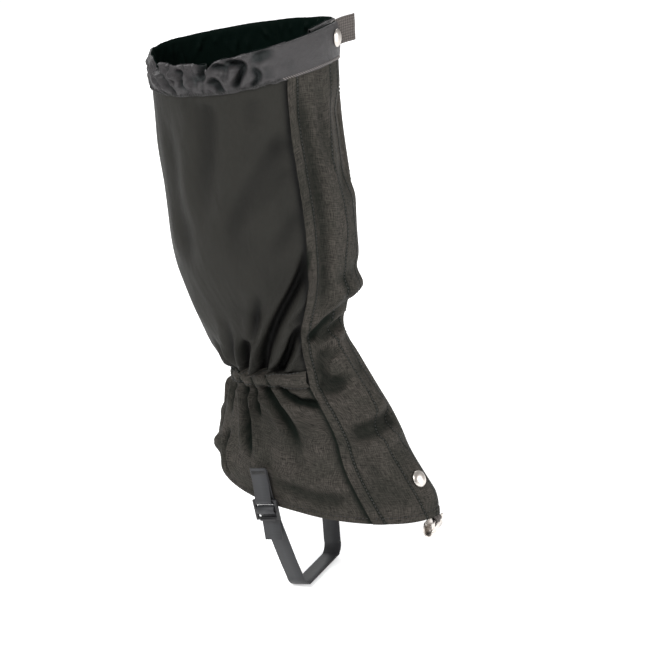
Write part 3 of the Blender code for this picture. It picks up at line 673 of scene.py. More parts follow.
def painted_shade_at(angle, rise, lines=()):
    """Painted shade for the cloth's colour: 0 on high cloth, 1 deep in a fold.

    Each line is (angle by rise, width in degrees) of a seam or a row of stitches, where the cloth
    is pulled in; shade is painted along it.
    """
    points = skin(angle, rise).reshape(-1, 3)
    below = step(rise, CUFF_RISE + 0.004, CUFF_RISE - 0.008)
    # painted shade: darker in tight folds, less in broad folds and where the slow swells sink
    deep = -press(points, TIGHT).reshape(angle.shape) / (4.0 * MM) - 0.12
    shallow = -press(points, BROAD).reshape(angle.shape) / (5.0 * MM)
    painted_swell_shade = np.clip(-0.1 - 2.4 * uneven(angle, rise), 0, 1)
    shade = np.clip(deep, 0, 1) + 0.55 * np.clip(shallow, 0, 1) + 0.22 * painted_swell_shade
    # painted shade along each seam and row of stitches
    for line, width in lines:
        shade = shade + np.exp(-((angle - line(rise)) / width) ** 2)
    # on the cuff, painted shade wherever the nylon is pressed in
    above = np.clip(-relief(angle, rise) / (2.8 * MM) - 0.05, 0, 1)
    return np.clip(shade * below + above * (1 - below), 0, 1)


def net(first, last, low, high, pitch=1.7):
    """Angles and rises of a net. first, last, low and high are numbers or functions."""
    columns = max(int(abs(edge_at(last, 0.7) - edge_at(first, 0.7)) * MM_PER_DEGREE / pitch), 6)
    rows = max(int((high - low) * MM_PER_RISE / pitch), 4)
    rise = np.linspace(low, high, rows)[:, None] * np.ones((1, columns))
    share = np.linspace(0, 1, columns)[None]
    start, end = edge_at(first, rise), edge_at(last, rise)
    return start + (end - start) * share, rise


def edge_at(edge, rise):
    """An edge's angle at this rise. An edge is a number or a function."""
    return edge(rise) if callable(edge) else edge + 0.0 * rise


def cloth(name, finishes, first, last, low, high, depth=0.0, thickness=FABRIC, pitch=1.7,
          lines=()):
    """A sheet on the moved skin, from edge first to edge last. Its depth is a number or a function."""
    angle, rise = net(first, last, low, high, pitch)
    layer = depth(angle, rise) if callable(depth) else depth
    return sheet_object(name, on_cloth(angle, rise, layer), thickness, finishes,
                        painted_shade_at(angle, rise, lines))


def stitches(name, finish, angle, rise, depth, length=2.1, pitch=3.3, radius=0.44, slant=0.0):
    """A row of thread stitches on a layer, along the places (angle, rise)."""
    angle, rise = np.asarray(angle, float), np.asarray(rise, float)
    layer = depth(angle, rise) if callable(depth) else depth
    line, out = on_cloth(angle, rise, layer), skin_normal(angle, rise)
    gone = run_length(line)
    middles = np.arange(pitch * MM / 2, gone[-1], pitch * MM)
    points, faces = [], []
    for middle in middles:
        ends = [np.array([np.interp(middle + s * length * MM / 2, gone, line[:, i])
                          for i in range(3)]) for s in (-1, 1)]
        normal = np.array([np.interp(middle, gone, out[:, i]) for i in range(3)])
        normal /= np.linalg.norm(normal)
        way = ends[1] - ends[0]
        side = np.cross(way, normal)
        side /= max(np.linalg.norm(side), 1e-9)
        if slant:
            centre = (ends[0] + ends[1]) / 2
            way = way * math.cos(slant) + side * np.linalg.norm(way) * math.sin(slant)
            ends = [centre - way / 2, centre + way / 2]
            side = np.cross(way, normal)
            side /= max(np.linalg.norm(side), 1e-9)
        first = len(points)
        for share, fat in ((0.0, 0.35), (0.2, 0.95), (0.5, 1.1), (0.8, 0.95), (1.0, 0.35)):
            centre = ends[0] + (ends[1] - ends[0]) * share
            centre = centre + normal * radius * MM * (0.15 + 0.5 * math.sin(math.pi * share))
            for turn in range(6):
                a = math.radians(60 * turn)
                points.append(centre + (side * math.cos(a) + normal * math.sin(a))
                              * radius * fat * MM)
        faces += tube_faces(5, 6, first)
    return mesh_object(name, points, faces, [finish])


# ---------------------------------------------------------------- how pieces move

def fold_blend(ends, lift):
    """A point just out from the middle of a corner's fold line, and the way across the line towards the
    corner.
    """
    rises = np.linspace(ends[0][0], ends[1][0], 21)
    angles = fold(rises, ends)
    line, normals = skin(angles, rises), skin_normal(angles, rises)
    way = line[-1] - line[0]
    way /= np.linalg.norm(way)
    out = normals.sum(0)
    out -= way * out.dot(way)
    out /= np.linalg.norm(out)
    bulge = ((line - line[0]) @ out).max() + lift
    middle = (line[0] + line[-1]) / 2 + out * bulge
    across = np.cross(way, out)
    corner = skin(FREE_EDGE, (ends[0][0] + ends[1][0]) / 2 + 0.1 * np.sign(ends[1][0] - 0.5))
    if (corner - middle) @ across < 0:
        across = -across
    return middle, across


def bend(piece, ends, body):
    """The piece follows the shell; its corner's fold line is worked out, but the piece is not turned over
    it.
    """
    middle, across = fold_blend(ends, 1.5 * MM if body == "shin_corner" else 1.0 * MM)
    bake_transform(piece)


def place_piece(piece, body, replaced=()):
    """Attaches a piece to the body that it rides on, or for a corner piece only bakes it in place, and
    hides the CAD nodes that it stands for.
    """
    if body in ("shin_corner", "instep_corner"):
        bend(piece, SHIN_FOLD if body == "shin_corner" else INSTEP_FOLD, body)
    else:
        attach(piece, body)
    if replaced:
        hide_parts(*replaced)


# ---------------------------------------------------------------- cloth pieces

def declare_cut(piece, first, last, low, high, held, beside, layers=1.0):
    """Works out the smooth skin under a piece and keeps nothing; no flat cut is declared. layers, how
    often it goes over, is not used.
    """
    angle, rise = net(first, last, low, high, 5.0)
    smooth = skin(angle, rise)


def edge_raised(angle, rise):
    """Depth of a front panel whose turned edge lies over its neighbour, as far as its stitches."""
    gap = (outer_seam(rise) - angle) * 1.1
    return -1.25 * MM * step(gap, 8.6, 7.2) + 0.45 * MM * np.exp(-((gap - 7.4) / 0.9) ** 2)


def outer_seam(rise):
    return seam(rise) + 1.0


def inner_seam(rise):
    return -seam(rise) - 1.0


def outer_seam_line(rise):
    return outer_seam(rise) - SEAM_SETBACK


def flap_edge(rise):
    """The flap's free edge, cut back a little where its bottom corner is rounded."""
    return FREE_EDGE + 15 * np.clip((0.045 - rise) / 0.045, 0, 1) + 0.8 * np.sin(rise * 31)


def front_depth(angle, rise):
    """The flap's raised seam edge, hem and the groove of its long stitch line."""
    groove = 0.35 * MM * np.exp(-((angle - flap_line(rise)) / 0.9) ** 2)
    return edge_raised(angle, rise) + groove + hem_depth(angle, rise) - 0.15 * MM


def flap_line(rise):
    """Angle of the long stitch line that holds the tape behind the flap."""
    rises = (0.0, 0.06, 0.12, 0.18, 0.22, 0.26, 0.31, 0.40, 0.52, 0.61, 0.67, 0.72, 0.77, 0.82, 0.90, 0.94)
    return np.interp(rise, rises, (20, 19, 19, 22, 26, 20, 11, 12, 17, 9, 13, 7, 8, 12, 4, 4))


def edge_line(rise):
    """Angle of the stitch line next to the flap's free edge."""
    return np.interp(rise, (0.0, 0.045, 0.13, 0.18, 0.22, 0.27, 0.62, 0.74, 0.94),
                     (9, -5, -8, 2, 10, -5, -7, -6, -8))


def under_depth(angle, rise):
    """The underlap's turned edge lies over the leg cloth, and its front dives under the flap."""
    return underlap_depth(angle, rise) + edge_raised(-angle, rise)


def hem_depth(angle, rise):
    """The turned hem is thicker, with a groove where it is stitched."""
    return (-0.5 * MM * step(rise, HEM_RISE, 0.017)
            + 0.4 * MM * np.exp(-((rise - HEM_RISE) / 0.0016) ** 2))


def casing_lift(angle):
    """The casing climbs a little on both sides of the leg, as rise."""
    turned = angle % 360
    side = step(turned, 165, 130) * (0.012 + 0.007 * step(turned, 70, 95))
    return side + 0.012 * step(turned, 220, 260)


def casing_across(angle, rise):
    """-1 at the tunnel's lower edge, 1 at its upper edge."""
    return (rise - casing_lift(angle) - CASING_RISE) / CASING_HALF


def casing_depth(angle, rise):
    """The tunnel stands out over its elastic and is ruffled where it is gathered."""
    turned = angle % 360
    loose = 0.05 + 0.95 * step(turned, 84, 94) * step(turned, 300, 280)
    lean = 60 * (rise - 0.36) * np.sin(angle / 5)
    wave = np.abs(np.sin(np.pi * (angle - 95 + lean) / 16)) ** 0.8
    loose = loose * (0.45 + 0.55 * step(turned, 150, 122))
    ruffle = 4.2 * MM * (wave - 0.7) * loose
    ruffle = ruffle + 1.2 * MM * (noise(angle / 4.1, rise * 40, 33) - 0.5) * loose
    across = casing_across(angle, rise)
    swell = 1.7 * MM * np.clip(1 - across ** 2, 0, 1)
    lips = 0.7 * MM * step(turned, 150, 110) * np.exp(-((np.abs(across) - 1.05) / 0.12) ** 2)
    flush = 1 - 0.55 * step(turned, 118, 140) * step(turned, 215, 195)
    return -(0.4 * MM + flush * (1.6 * MM + swell + lips) + ruffle)


def casing_painted_shade(angle, rise):
    """Painted shade in the gaps between the pleats, and along both edges of the tunnel."""
    height = -casing_depth(angle, rise) / MM
    across = np.abs(casing_across(angle, rise))
    return np.clip((2.4 - height) / 1.6, 0, 1) + 0.5 * np.exp(-((across - 0.86) / 0.06) ** 2)


def build_leg_cloth(soft, heavy, dark):
    sewn = (lambda r: seam(r) - 0.5, lambda r: 360.5 - seam(r))
    shown = (lambda r: seam(r) + 1.5, lambda r: 358.5 - seam(r))
    calf_span, heel_span, casing_span = (0.345, CUFF_RISE + CUFF_LAP), (0.0, 0.355), (0.322, 0.381)
    # painted shade along both seams with the front cloth
    lines = [(edge, 2.3) for edge in shown]
    calf = cloth("calf_cloth", [soft, dark], *sewn, *calf_span, pitch=1.55, lines=lines)
    place_piece(calf, "shell", ["calf_panel"])
    heel = cloth("heel_cloth", [heavy, dark], *sewn, *heel_span, hem_depth, lines=lines)
    place_piece(heel, "shell", ["heel_panel", "hem_facing"])
    angle, rise = net(*shown, *casing_span, 1.1)
    narrow = 0.72 + 0.28 * step(angle % 360, 68, 100)
    rise = CASING_RISE + (rise - CASING_RISE) * narrow
    rise = rise + casing_lift(angle) + 0.002 * (noise(angle / 4, rise * 40, 51) - 0.5)
    casing = sheet_object("ankle_casing_cloth", on_cloth(angle, rise, casing_depth(angle, rise)),
                          FABRIC, [heavy, dark], casing_painted_shade(angle, rise))
    place_piece(casing, "shell", ["ankle_casing", "ankle_elastic"])
    declare_cut(calf, *sewn, *calf_span, "gathered", ["heel_cloth"])
    declare_cut(heel, *sewn, *heel_span, "gathered", ["calf_cloth"])
    declare_cut(casing, *sewn, *casing_span, "gathered", ["calf_cloth", "heel_cloth"])


def build_front_cloth(heavy, dark):
    finishes, full = [heavy, dark], CUFF_RISE + CUFF_LAP
    # painted shade along the seam and stitch lines
    lines = [(line, 0.8) for line in (outer_seam_line, flap_line, edge_line)]
    top_cut, low_cut = (flap_edge, outer_seam, SPLIT, full), (flap_edge, outer_seam, 0.0, SPLIT)
    top = cloth("shin_cloth", finishes, *top_cut, front_depth, pitch=1.2, lines=lines)
    place_piece(top, "shin_corner", ["front_panel", "shin_flap"])
    low = cloth("instep_cloth", finishes, *low_cut, front_depth, pitch=1.2, lines=lines)
    place_piece(low, "instep_corner", ["instep_flap"])
    under_cut = (inner_seam, UNDER_EDGE, 0.0, full)
    under = cloth("underlap_cloth", finishes, *under_cut, under_depth)
    place_piece(under, "shell", ["underlap_panel"])
    declare_cut(top, *top_cut, "stretched", ["calf_cloth"])
    declare_cut(low, *low_cut, "stretched", ["heel_cloth"])
    declare_cut(under, *under_cut, "stretched", ["calf_cloth", "heel_cloth"])


def build_tapes(loop, hook):
    back = FREE_EDGE + 23

    def loop_tape(name, low, high, body, node):
        piece = cloth(name, [loop], FREE_EDGE + 2, back, low, high, 1.9 * MM, 1.2 * MM, 2.2)
        place_piece(piece, body, [node])

    def hook_depth(angle, rise):
        return underlap_depth(angle, rise) - 1.6 * MM

    loop_tape("shin_loop_cloth", 0.70, 0.85, "shin_corner", "shin_loop_tape")
    loop_tape("instep_loop_cloth", 0.125, 0.26, "instep_corner", "instep_loop_tape")
    loop_tape("ankle_loop_cloth", 0.34, 0.615, "shell", "ankle_loop_tape")
    for name, low, high, node in (("shin_hook_cloth", 0.42, 0.85, "shin_hook_tape"),
                                  ("instep_hook_cloth", 0.125, 0.40, "instep_hook_tape")):
        piece = cloth(name, [hook], FREE_EDGE + 2, back, low, high, hook_depth, 1.1 * MM, 2.2)
        place_piece(piece, "shell", [node])


# ---------------------------------------------------------------- cuff

def rim_drop(angle):
    """How far the rim is pulled down at the gathers, as rise."""
    turned = angle % 360
    loose = step(turned, 60, 84) * step(turned, 322, 300)
    notch = 0.012 * np.exp(-((turned - 88) / 2.6) ** 2) + 0.014 * np.exp(-((turned - 133) / 5) ** 2)
    wavy = 0.011 * loose * step(turned, 185, 160) * noise(angle / 7 + 5, angle * 0, 14)
    return notch + wavy + 0.003 * loose * noise(angle / 14 + 8, angle * 0, 15)


def cuff_net(first, last, depth=0.0, pitch=1.0):
    """Outer wall from the seam up, over the rim and down inside, with its points, painted shade and the
    mask of the inner wall, which is painted dark as shade.
    """
    out, inside = -1.1 * MM, 3.1 * MM
    middle, half = (out + inside) / 2, (inside - out) / 2
    rises = list(np.linspace(CUFF_RISE - 0.001, CROWN, CUFF_STEPS))
    profile = [(out, r) for r in rises]
    profile += [(middle - half * math.cos(math.radians(t)),
                 CROWN + 0.012 * math.sin(math.radians(t))) for t in range(15, 180, 15)]
    profile += [(inside, r) for r in reversed(rises[::2])]
    columns = int(abs(last - first) * MM_PER_DEGREE / pitch)
    shift, rise = (np.array(values)[:, None] for values in zip(*profile))
    rise = rise * np.ones((1, columns))
    angle = np.broadcast_to(first + (last - first) * np.linspace(0, 1, columns), rise.shape)
    upper = np.clip((rise - CUFF_RISE) / (1 - CUFF_RISE), 0, 1)
    wave = 0.0022 * (noise(angle / 4.0, angle * 0, 17) - 0.5) * (1 - upper)
    dropped = rise - rim_drop(angle) * upper ** 1.5 + wave
    height = (rise - CUFF_RISE) / (CROWN - CUFF_RISE)
    plump = 0.1 if callable(depth) else 1.3
    balloon = plump * MM * np.clip(4 * height * (1 - height), 0, 1) * (shift < 0)
    inward = depth(angle, rise) if callable(depth) else depth
    # inside the rim the creases die away, and the inner wall stays behind the outer one
    row, turn = np.arange(len(profile))[:, None], CUFF_STEPS + 2
    moved = relief(angle, rise)
    out_by = moved * (1 - 0.75 * step(row, turn, turn + 7)) - (inward + shift - balloon)
    out_by = np.where(row > turn, np.minimum(out_by, moved - inward - 1.6 * MM), out_by)
    points = skin(angle, dropped) + skin_normal(angle, dropped) * out_by[..., None]
    return points, painted_shade_at(angle, rise), np.broadcast_to(row > turn + 3, rise.shape)


def build_cuff(nylon, dark):
    joint = float(seam(1.0))
    for name, first, last, body, nodes, depth in (
            ("cuff_cloth", FREE_EDGE, CUFF_SPLIT, "shin_corner", ["cuff_flap_end"], 0.0),
            ("cuff_back_cloth", CUFF_SPLIT, 360 - joint, "shell", ["cuff_band", "cuff_elastic"], 0.0),
            ("cuff_underlap_cloth", -joint - 1.0, UNDER_EDGE - 8, "shell", ["cuff_underlap_end"],
             underlap_depth)):
        points, painted_shade, inside = cuff_net(first, last, depth)
        # inside the rim the nylon takes the near-black lining as painted shade
        piece = sheet_object(name, points, NYLON, [nylon, dark], painted_shade, inside)
        place_piece(piece, body, nodes)
        declare_cut(piece, first, last, CUFF_RISE, 1.0, "gathered", ["calf_cloth"], 2.0)


# ---------------------------------------------------------------- stitches

def build_stitches(dark_thread, painted_highlight_thread):
    def row(name, finish, line, low, high, depth, body, **look):
        rise = np.linspace(low, high, max(int(abs(high - low) * 400), 12))
        piece = stitches(name, finish, line(rise), rise, depth, **look)
        place_piece(piece, body)

    def round_row(name, finish, height, first, last, depth, body, slot="heavy_fabric", **look):
        angle = np.linspace(first, last, max(int(abs(last - first) * 1.2), 12))
        rise = height(angle) if callable(height) else height + 0 * angle
        piece = stitches(name, finish, angle, rise, depth, **look)
        place_piece(piece, body)

    for low, high, body, part in ((SPLIT + 0.002, CUFF_RISE - 0.002, "shin_corner", "top"),
                                  (0.004, SPLIT - 0.002, "instep_corner", "low")):
        for kind, line in (("seam", outer_seam_line), ("flap", flap_line), ("edge", edge_line)):
            row(f"{kind}_stitches_{part}", dark_thread, line, low, high, front_depth, body)
    row("inner_seam_stitches", dark_thread, lambda r: inner_seam(r) + SEAM_SETBACK, 0.004,
        CUFF_RISE - 0.002, under_depth, "shell")
    for part, height in (("top", CASING_RISE + 0.022), ("bottom", CASING_RISE - 0.022)):
        round_row(f"casing_{part}_stitches", dark_thread, lambda a: height + casing_lift(a), 64, 296,
                  lambda a, r: casing_depth(a, r) - 0.1 * MM, "shell", length=2.4)
    round_row("heel_hem_stitches", dark_thread, HEM_RISE, 57, 303, hem_depth, "shell")
    round_row("front_hem_stitches", dark_thread, HEM_RISE, 5, 54, front_depth, "instep_corner")
    cuff_bottom = -1.5 * MM
    round_row("cuff_overlock_back", dark_thread, lambda a: CUFF_RISE + 0.0012 + 0.0016 * np.sin(a),
              44, 318, cuff_bottom, "shell", "cuff_nylon", length=2.9, pitch=2.6, radius=0.42,
              slant=1.0)
    # painted highlight: the front overlock uses a much lighter thread than the same seam at the back
    round_row("cuff_overlock_front", painted_highlight_thread, CUFF_RISE + 0.0015, FREE_EDGE + 1, 44, cuff_bottom,
              "shin_corner", "cuff_nylon", length=3.0, pitch=2.2, radius=0.40, slant=0.8)


# ---------------------------------------------------------------- press studs

def turned_piece(name, finish, profile, place, steps=48):
    """A body of revolution about its own Z, as one closed mesh."""
    points = []
    for radius, height in profile:
        for turn in range(steps):
            a = 2 * math.pi * turn / steps
            points.append(place @ Vector((radius * math.cos(a), radius * math.sin(a), height)))
    faces = tube_faces(len(profile), steps)
    return mesh_object(name, [tuple(p) for p in points], faces, [finish])


def stud_place(angle, rise, depth):
    """The frame of a stud at this depth on the cloth, with Z outwards."""
    out = Vector(skin_normal(angle, rise))
    where = Vector(skin(angle, rise)) + out * (float(relief(angle, rise)) - depth)
    return Matrix.Translation(where) @ out.to_track_quat("Z", "Y").to_matrix().to_4x4()


def build_studs(metal):
    """Domed caps with a rolled rim. The hidden halves stay as CAD."""
    dome = [(0.15, 3.25), (1.6, 3.2), (3.2, 3.0), (4.7, 2.6), (5.9, 2.05), (6.8, 1.4), (7.3, 0.95),
            (7.5, 0.6), (7.45, 0.3), (7.2, 0.08), (6.7, 0.0), (5.0, 0.12), (1.4, 0.12), (1.4, -2.0),
            (0.15, -2.0)]
    profile = [(r * MM, z * MM) for r, z in dome]
    for name, angle, rise, depth, body, node in (
            ("top_cap", -5, 0.970, -2.2 * MM, "shin_corner", "top_snap_cap"),
            ("instep_cap", 7, 0.085, -0.5 * MM, "instep_corner", "instep_snap_cap")):
        cap = turned_piece(name, metal, profile, stud_place(angle, rise, depth))
        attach(cap, body)
        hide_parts(node)


# ---------------------------------------------------------------- straps and hardware

def ribbon(name, finish, path, half_width, thickness, place, across="y", ends=0.0):
    """A strap with rounded edges along a path of (a, z) points in metres."""
    path = np.array(path, float)
    ways = np.gradient(path, axis=0)
    ways /= np.linalg.norm(ways, axis=1, keepdims=True)
    side = np.stack([-ways[:, 1], ways[:, 0]], -1)
    gone = run_length(path) / MM
    half = thickness / 2
    ring = [(-half_width, -0.4 * half), (-half_width + 0.6 * half, -half),
            (0.0, -1.06 * half), (half_width - 0.6 * half, -half), (half_width, -0.4 * half),
            (half_width, 0.4 * half), (half_width - 0.6 * half, half), (0.0, 1.06 * half),
            (-half_width + 0.6 * half, half), (-half_width, 0.4 * half)]
    points, uv, edge_band = [], [], []
    for i, (centre, out) in enumerate(zip(path, side)):
        narrow = 1.0
        if ends:
            left = min(gone[i], gone[-1] - gone[i]) * MM
            narrow = 1 - 0.3 * max(0.0, 1 - left / ends) ** 2
        for w, t in ring:
            a, z = centre + out * t
            w = w * narrow
            local = Vector((a, w, z)) if across == "y" else Vector((w, a, z))
            points.append(tuple(place @ local))
            uv.append((w / MM, gone[i]))
            edge_band.append(1.0 if abs(w) > 0.93 * half_width else 0.0)
    faces = tube_faces(len(path), len(ring))
    if across == "y":
        faces = [tuple(reversed(face)) for face in faces]
    obj = mesh_object(name, points, faces, [finish], uv=np.array(uv))
    attribute = obj.data.attributes.new("edge", "FLOAT", "POINT")
    attribute.data.foreach_set("value", np.array(edge_band, np.float32))
    return obj


def smooth_path(places, count):
    """A smooth line through 2-D places, as points that are evenly spaced."""
    line = spline(places, 16 * len(places))
    gone = run_length(line)
    even = np.linspace(0, gone[-1], count)
    return np.stack([np.interp(even, gone, line[:, i]) for i in (0, 1)], -1)


def arc(centre, radius, first, last, count):
    """Places on a round bend, from one angle in degrees to another."""
    return [(centre[0] + radius * math.cos(math.radians(d)),
             centre[1] + radius * math.sin(math.radians(d))) for d in np.linspace(first, last, count)]


def rounded_box(name, finish, boxes, place, bevel):
    """Several boxes (centre, size) in one mesh, with their edges rounded."""
    points, faces = [], []
    for centre, size in boxes:
        first = len(points)
        for x in (-0.5, 0.5):
            for y in (-0.5, 0.5):
                for z in (-0.5, 0.5):
                    points.append(tuple(place @ Vector((centre[0] + x * size[0],
                                                        centre[1] + y * size[1],
                                                        centre[2] + z * size[2]))))
        for face in ((0, 1, 3, 2), (4, 6, 7, 5), (0, 4, 5, 1), (2, 3, 7, 6), (0, 2, 6, 4), (1, 5, 7, 3)):
            faces.append([first + i for i in face])
    obj = mesh_object(name, points, faces, [finish])
    rounding = obj.modifiers.new("rounding", "BEVEL")
    rounding.width = bevel
    rounding.segments = 3
    return obj


STRAP_PLACE = Matrix.Translation((0.0, 0.002, -0.0935)) @ Matrix.Rotation(math.radians(-13), 4, "X")
LOCK_X, TAB_DROP, LOCK_PITCH = -60.0 * MM, 28.5 * MM, 8.5 * MM
STRAP_HALF_WIDTH = 9 * MM
HOOK_PLACE = (0.0, -0.1470, -0.1352)
HOOK_HALF_WIDTH = 12 * MM
TAB_RISE, TAB_FLARE = 0.972, 47


def build_strap(rubber, plastic, dark_thread):
    bar_z = -TAB_DROP - LOCK_PITCH
    tail = [(LOCK_X + 1.0 * MM, bar_z - 30 * MM), (LOCK_X + 2.9 * MM, bar_z - 14 * MM),
            (LOCK_X + 2.9 * MM, bar_z - 6.7 * MM), (LOCK_X - 3.0 * MM, bar_z - 2 * MM)]
    side = [(LOCK_X + 5.4 * MM, bar_z - 7 * MM), (LOCK_X + 5.4 * MM, bar_z - 13 * MM),
            (-45 * MM, -92 * MM)]
    bend_out = arc((-27 * MM, -114 * MM), 12 * MM, 180, 270, 7)
    inner = [(-x, z) for x, z in reversed(side[1:] + bend_out)]
    places = (tail + arc((LOCK_X, bar_z), 3.3 * MM, 175, 5, 8) + side + bend_out + inner
              + [(57.5 * MM, -TAB_DROP - 1.5 * MM)])
    strap_ribbon("strap_run", rubber, places, 170, STRAP_HALF_WIDTH, 1.7 * MM, "instep_strap")
    build_lock(plastic)
    outside = [(-59.4 * MM, 3 * MM), (-60.2 * MM, -TAB_DROP / 2)]
    inside = [(-57.9 * MM, -TAB_DROP / 2), (-57.7 * MM, 1 * MM)]
    outer_tab = outside + arc((LOCK_X, -TAB_DROP), 2.9 * MM, 150, 390, 9) + inside
    inner_tab = [(57.6 * MM, 3 * MM), (57.5 * MM, -12 * MM), (57.5 * MM, -TAB_DROP)]
    strap_ribbon("outer_tab", rubber, outer_tab, 70, 8.2 * MM, 1.0 * MM, "strap_tab_outer")
    strap_ribbon("inner_tab", rubber, inner_tab, 40, STRAP_HALF_WIDTH, 1.8 * MM, "strap_tab_inner")
    for name, x in (("outer_bar_tack", -60.05 * MM), ("inner_bar_tack", 58.6 * MM)):
        build_bar_tack(name, dark_thread, x)


def strap_ribbon(name, rubber, path, count, half_width, thickness, node):
    """A length of strap along a path of places, across and up, in the strap's own plane."""
    piece = ribbon(name, rubber, smooth_path(path, count), half_width, thickness, STRAP_PLACE)
    place_piece(piece, "strap_loop", [node])


def build_bar_tack(name, finish, x):
    """A dense band of threads that sews a tab to the gaiter."""
    boxes = [((x, y * MM, -1.2 * MM + 0.35 * MM * math.sin(3 * y)), (0.55 * MM, 0.55 * MM, 3.2 * MM))
             for y in np.arange(-7.0, 7.1, 0.8)]
    tack = rounded_box(name, finish, boxes, STRAP_PLACE, 0.2 * MM)
    place_piece(tack, "strap_loop")


def build_lock(plastic):
    """The ladder lock: two rails, three bars between them and a grip on the lowest."""
    place = STRAP_PLACE @ Matrix.Translation((LOCK_X, 0, -TAB_DROP - LOCK_PITCH))
    rail_y = STRAP_HALF_WIDTH + 1.9 * MM
    boxes = [((0, s * rail_y, 0), (3.0 * MM, 2.6 * MM, 19.6 * MM)) for s in (-1, 1)]
    boxes += [((0, 0, z * MM), (2.7 * MM, 22 * MM, 2.6 * MM)) for z in (-8.5, 0, 8.5)]
    boxes.append(((-1.6 * MM, 0, -9.4 * MM), (1.6 * MM, 16 * MM, 2.2 * MM)))
    lock = rounded_box("lock_frame", plastic, boxes, place, 0.55 * MM)
    place_piece(lock, "strap_loop", ["ladder_lock"])


def build_lace_hook(metal, web):
    """A bent strip that hooks under a lace, hung from a bar in a loop of webbing."""
    place = Matrix.Translation(HOOK_PLACE)
    bottom = smooth_path([(0.0, -4.6 * MM), (0.0, -9 * MM)] + arc((4 * MM, -9 * MM), 4 * MM, 200, 340, 7)
                         + [(8 * MM, -9 * MM), (8 * MM, -5 * MM), (9 * MM, -2.4 * MM)], 60)
    plate = ribbon("hook_plate", metal, bottom, HOOK_HALF_WIDTH, 1.3 * MM, place, "x", 4 * MM)
    place_piece(plate, "lace_hook", ["lace_hook"])
    boxes = [((s * 9.0 * MM, 0, -2.4 * MM), (5.6 * MM, 1.3 * MM, 6.0 * MM)) for s in (-1, 1)]
    boxes.append(((0, 0, 0.1 * MM), (23.6 * MM, 1.5 * MM, 1.8 * MM)))
    bar = rounded_box("hook_bar", metal, boxes, place, 0.5 * MM)
    place_piece(bar, "lace_hook")
    finish_nodes(web, "hook_loop")


def tab_frame():
    """The grab tab's stitch line up the flap's edge, and the way that the tab stands out."""
    ends = skin(FREE_EDGE, np.array([0.96, 0.99]))
    up = Vector(ends[1] - ends[0]).normalized()
    edge, beside = (Vector(skin(angle, TAB_RISE)) for angle in (FREE_EDGE, FREE_EDGE - 4))
    tangent = (beside - edge).normalized()
    out = Vector(skin_normal(FREE_EDGE, TAB_RISE))
    flare = math.radians(TAB_FLARE)
    edge = edge - out * 3.7 * MM
    return edge, up, tangent, tangent * math.cos(flare) + out * math.sin(flare) + up * 0.2


def build_grab_tab(web, dark_thread):
    """A loop of webbing pressed flat, with a folded end and a slight wave."""
    edge, up, tangent, out = tab_frame()
    normal = up.cross(out).normalized()
    if normal.dot(Vector(skin_normal(FREE_EDGE, 0.98))) < 0:
        normal = -normal
    xs = np.concatenate([np.linspace(-4, 0, 5), np.linspace(1, 23.4, 23)]) * MM
    ys = np.linspace(-11, 11, 23) * MM
    points = np.zeros((len(ys), len(xs), 3))
    for i, y in enumerate(ys):
        for j, x in enumerate(xs):
            way = tangent if x < 0 else out
            wave = 0.3 * MM * math.sin(x / MM * 0.28 + 0.3) * (x > 0)
            wave += 0.15 * MM * math.sin(y / MM * 0.5)
            points[i, j] = edge + way * x + up * (y + 0.5 * MM * math.sin(x / MM * 0.2)) + normal * wave
    if Vector(net_normals(points)[10, 10]).dot(normal) < 0:
        points = points[:, ::-1]
    tab = sheet_object("grab_webbing", points, 1.1 * MM, [web, web])
    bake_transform(tab)
    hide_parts("pull_tab", "pull_tab_root")


def finish_nodes(finish, *nodes):
    """Give CAD nodes that stay in sight a better material."""
    for node in nodes:
        materials = bpy.data.objects[node].data.materials
        materials.clear()
        materials.append(finish)


# ---------------------------------------------------------------- stage, light and camera

def area_light(name, place, height, size, power):
    """A round lamp that points at this height on the leg's axis."""
    data = bpy.data.lights.new(name, "AREA")
    data.shape = "DISK"
    data.size = size
    data.energy = power
    lamp = bpy.data.objects.new(name, data)
    lamp.location = place
    lamp.rotation_euler = (Vector((0, 0, height)) - Vector(place)).to_track_quat("-Z", "Y").to_euler()
    bpy.context.scene.collection.objects.link(lamp)


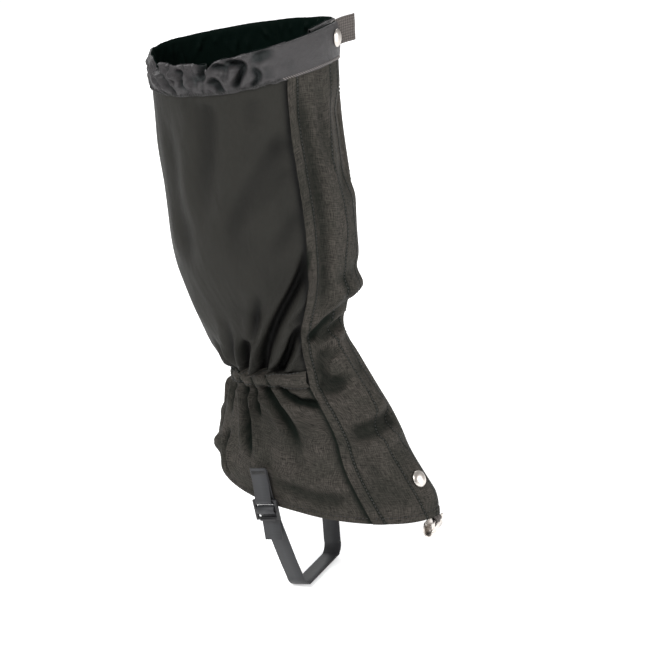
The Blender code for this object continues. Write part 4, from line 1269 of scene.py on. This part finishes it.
def build_stage():
    bpy.ops.mesh.primitive_plane_add(size=60, location=(0, 0, FLOOR))
    floor = bpy.context.object
    floor.name = "floor"
    floor.data.materials.append(plain_stage())
    world = bpy.data.worlds.new("studio")
    world.use_nodes = True
    tree = world.node_tree
    tree.nodes["Background"].inputs[0].default_value = (1, 1, 1, 1)
    # soft light on the object, and a pale wall beyond the floor
    strength = tree.nodes.new("ShaderNodeMapRange")
    strength.inputs["To Min"].default_value = 0.42
    strength.inputs["To Max"].default_value = 0.85
    tree.links.new(tree.nodes.new("ShaderNodeLightPath").outputs["Is Camera Ray"],
                   strength.inputs["Value"])
    tree.links.new(strength.outputs[0], tree.nodes["Background"].inputs[1])
    bpy.context.scene.world = world
    bpy.context.scene.view_settings.view_transform = "Standard"
    area_light("key", (-1.6, 0.3, 1.7), 0.05, 1.0, 42)
    area_light("fill", (0.3, -2.4, 0.8), 0.0, 1.4, 38)
    area_light("rim", (1.6, 1.2, 1.5), 0.1, 1.4, 26)


def build_camera():
    azimuth, elevation, distance = math.radians(-64), math.radians(22.5), 1.52
    target = Vector((0, -0.04, 0.015))
    away = Vector((math.sin(azimuth) * math.cos(elevation),
                   -math.cos(azimuth) * math.cos(elevation), math.sin(elevation)))
    data = bpy.data.cameras.new("camera")
    data.lens = 92.9
    data.shift_x, data.shift_y = 0.0042, 0.017
    camera = bpy.data.objects.new("camera", data)
    camera.location = target + away * distance
    camera.rotation_euler = (-away).to_track_quat("-Z", "Y").to_euler()
    bpy.context.scene.collection.objects.link(camera)
    bpy.context.scene.camera = camera


def main():
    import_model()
    build_camera()
    build_stage()
    heavy, soft, nylon, dark = heavy_fabric(), soft_fabric(), cuff_nylon(), lining_and_painted_shade()
    web, loop_web = webbing("woven_webbing"), webbing("loop_webbing", solid=True)
    rubber, plastic, metal = strap_rubber(), buckle_plastic(), nickel()
    dark_thread = thread("dark_thread", (0.012, 0.012, 0.011))
    # painted highlight: lighter thread for the lit front of the cuff's overlock
    painted_highlight_thread = thread("painted_highlight_thread", (0.15, 0.135, 0.13))
    build_leg_cloth(soft, heavy, dark)
    build_front_cloth(heavy, dark)
    build_tapes(tape("loop_pile", (0.020, 0.020, 0.020), 1.4), tape("hook_pile", (0.03, 0.03, 0.03), 0.9))
    build_cuff(nylon, dark)
    build_stitches(dark_thread, painted_highlight_thread)
    build_studs(metal)
    build_strap(rubber, plastic, dark_thread)
    build_lace_hook(metal, loop_web)
    build_grab_tab(web, dark_thread)
    finish_nodes(metal, *(f"{place}_snap_{half}" for place in ("top", "instep")
                          for half in ("socket", "stud", "post")))


main()
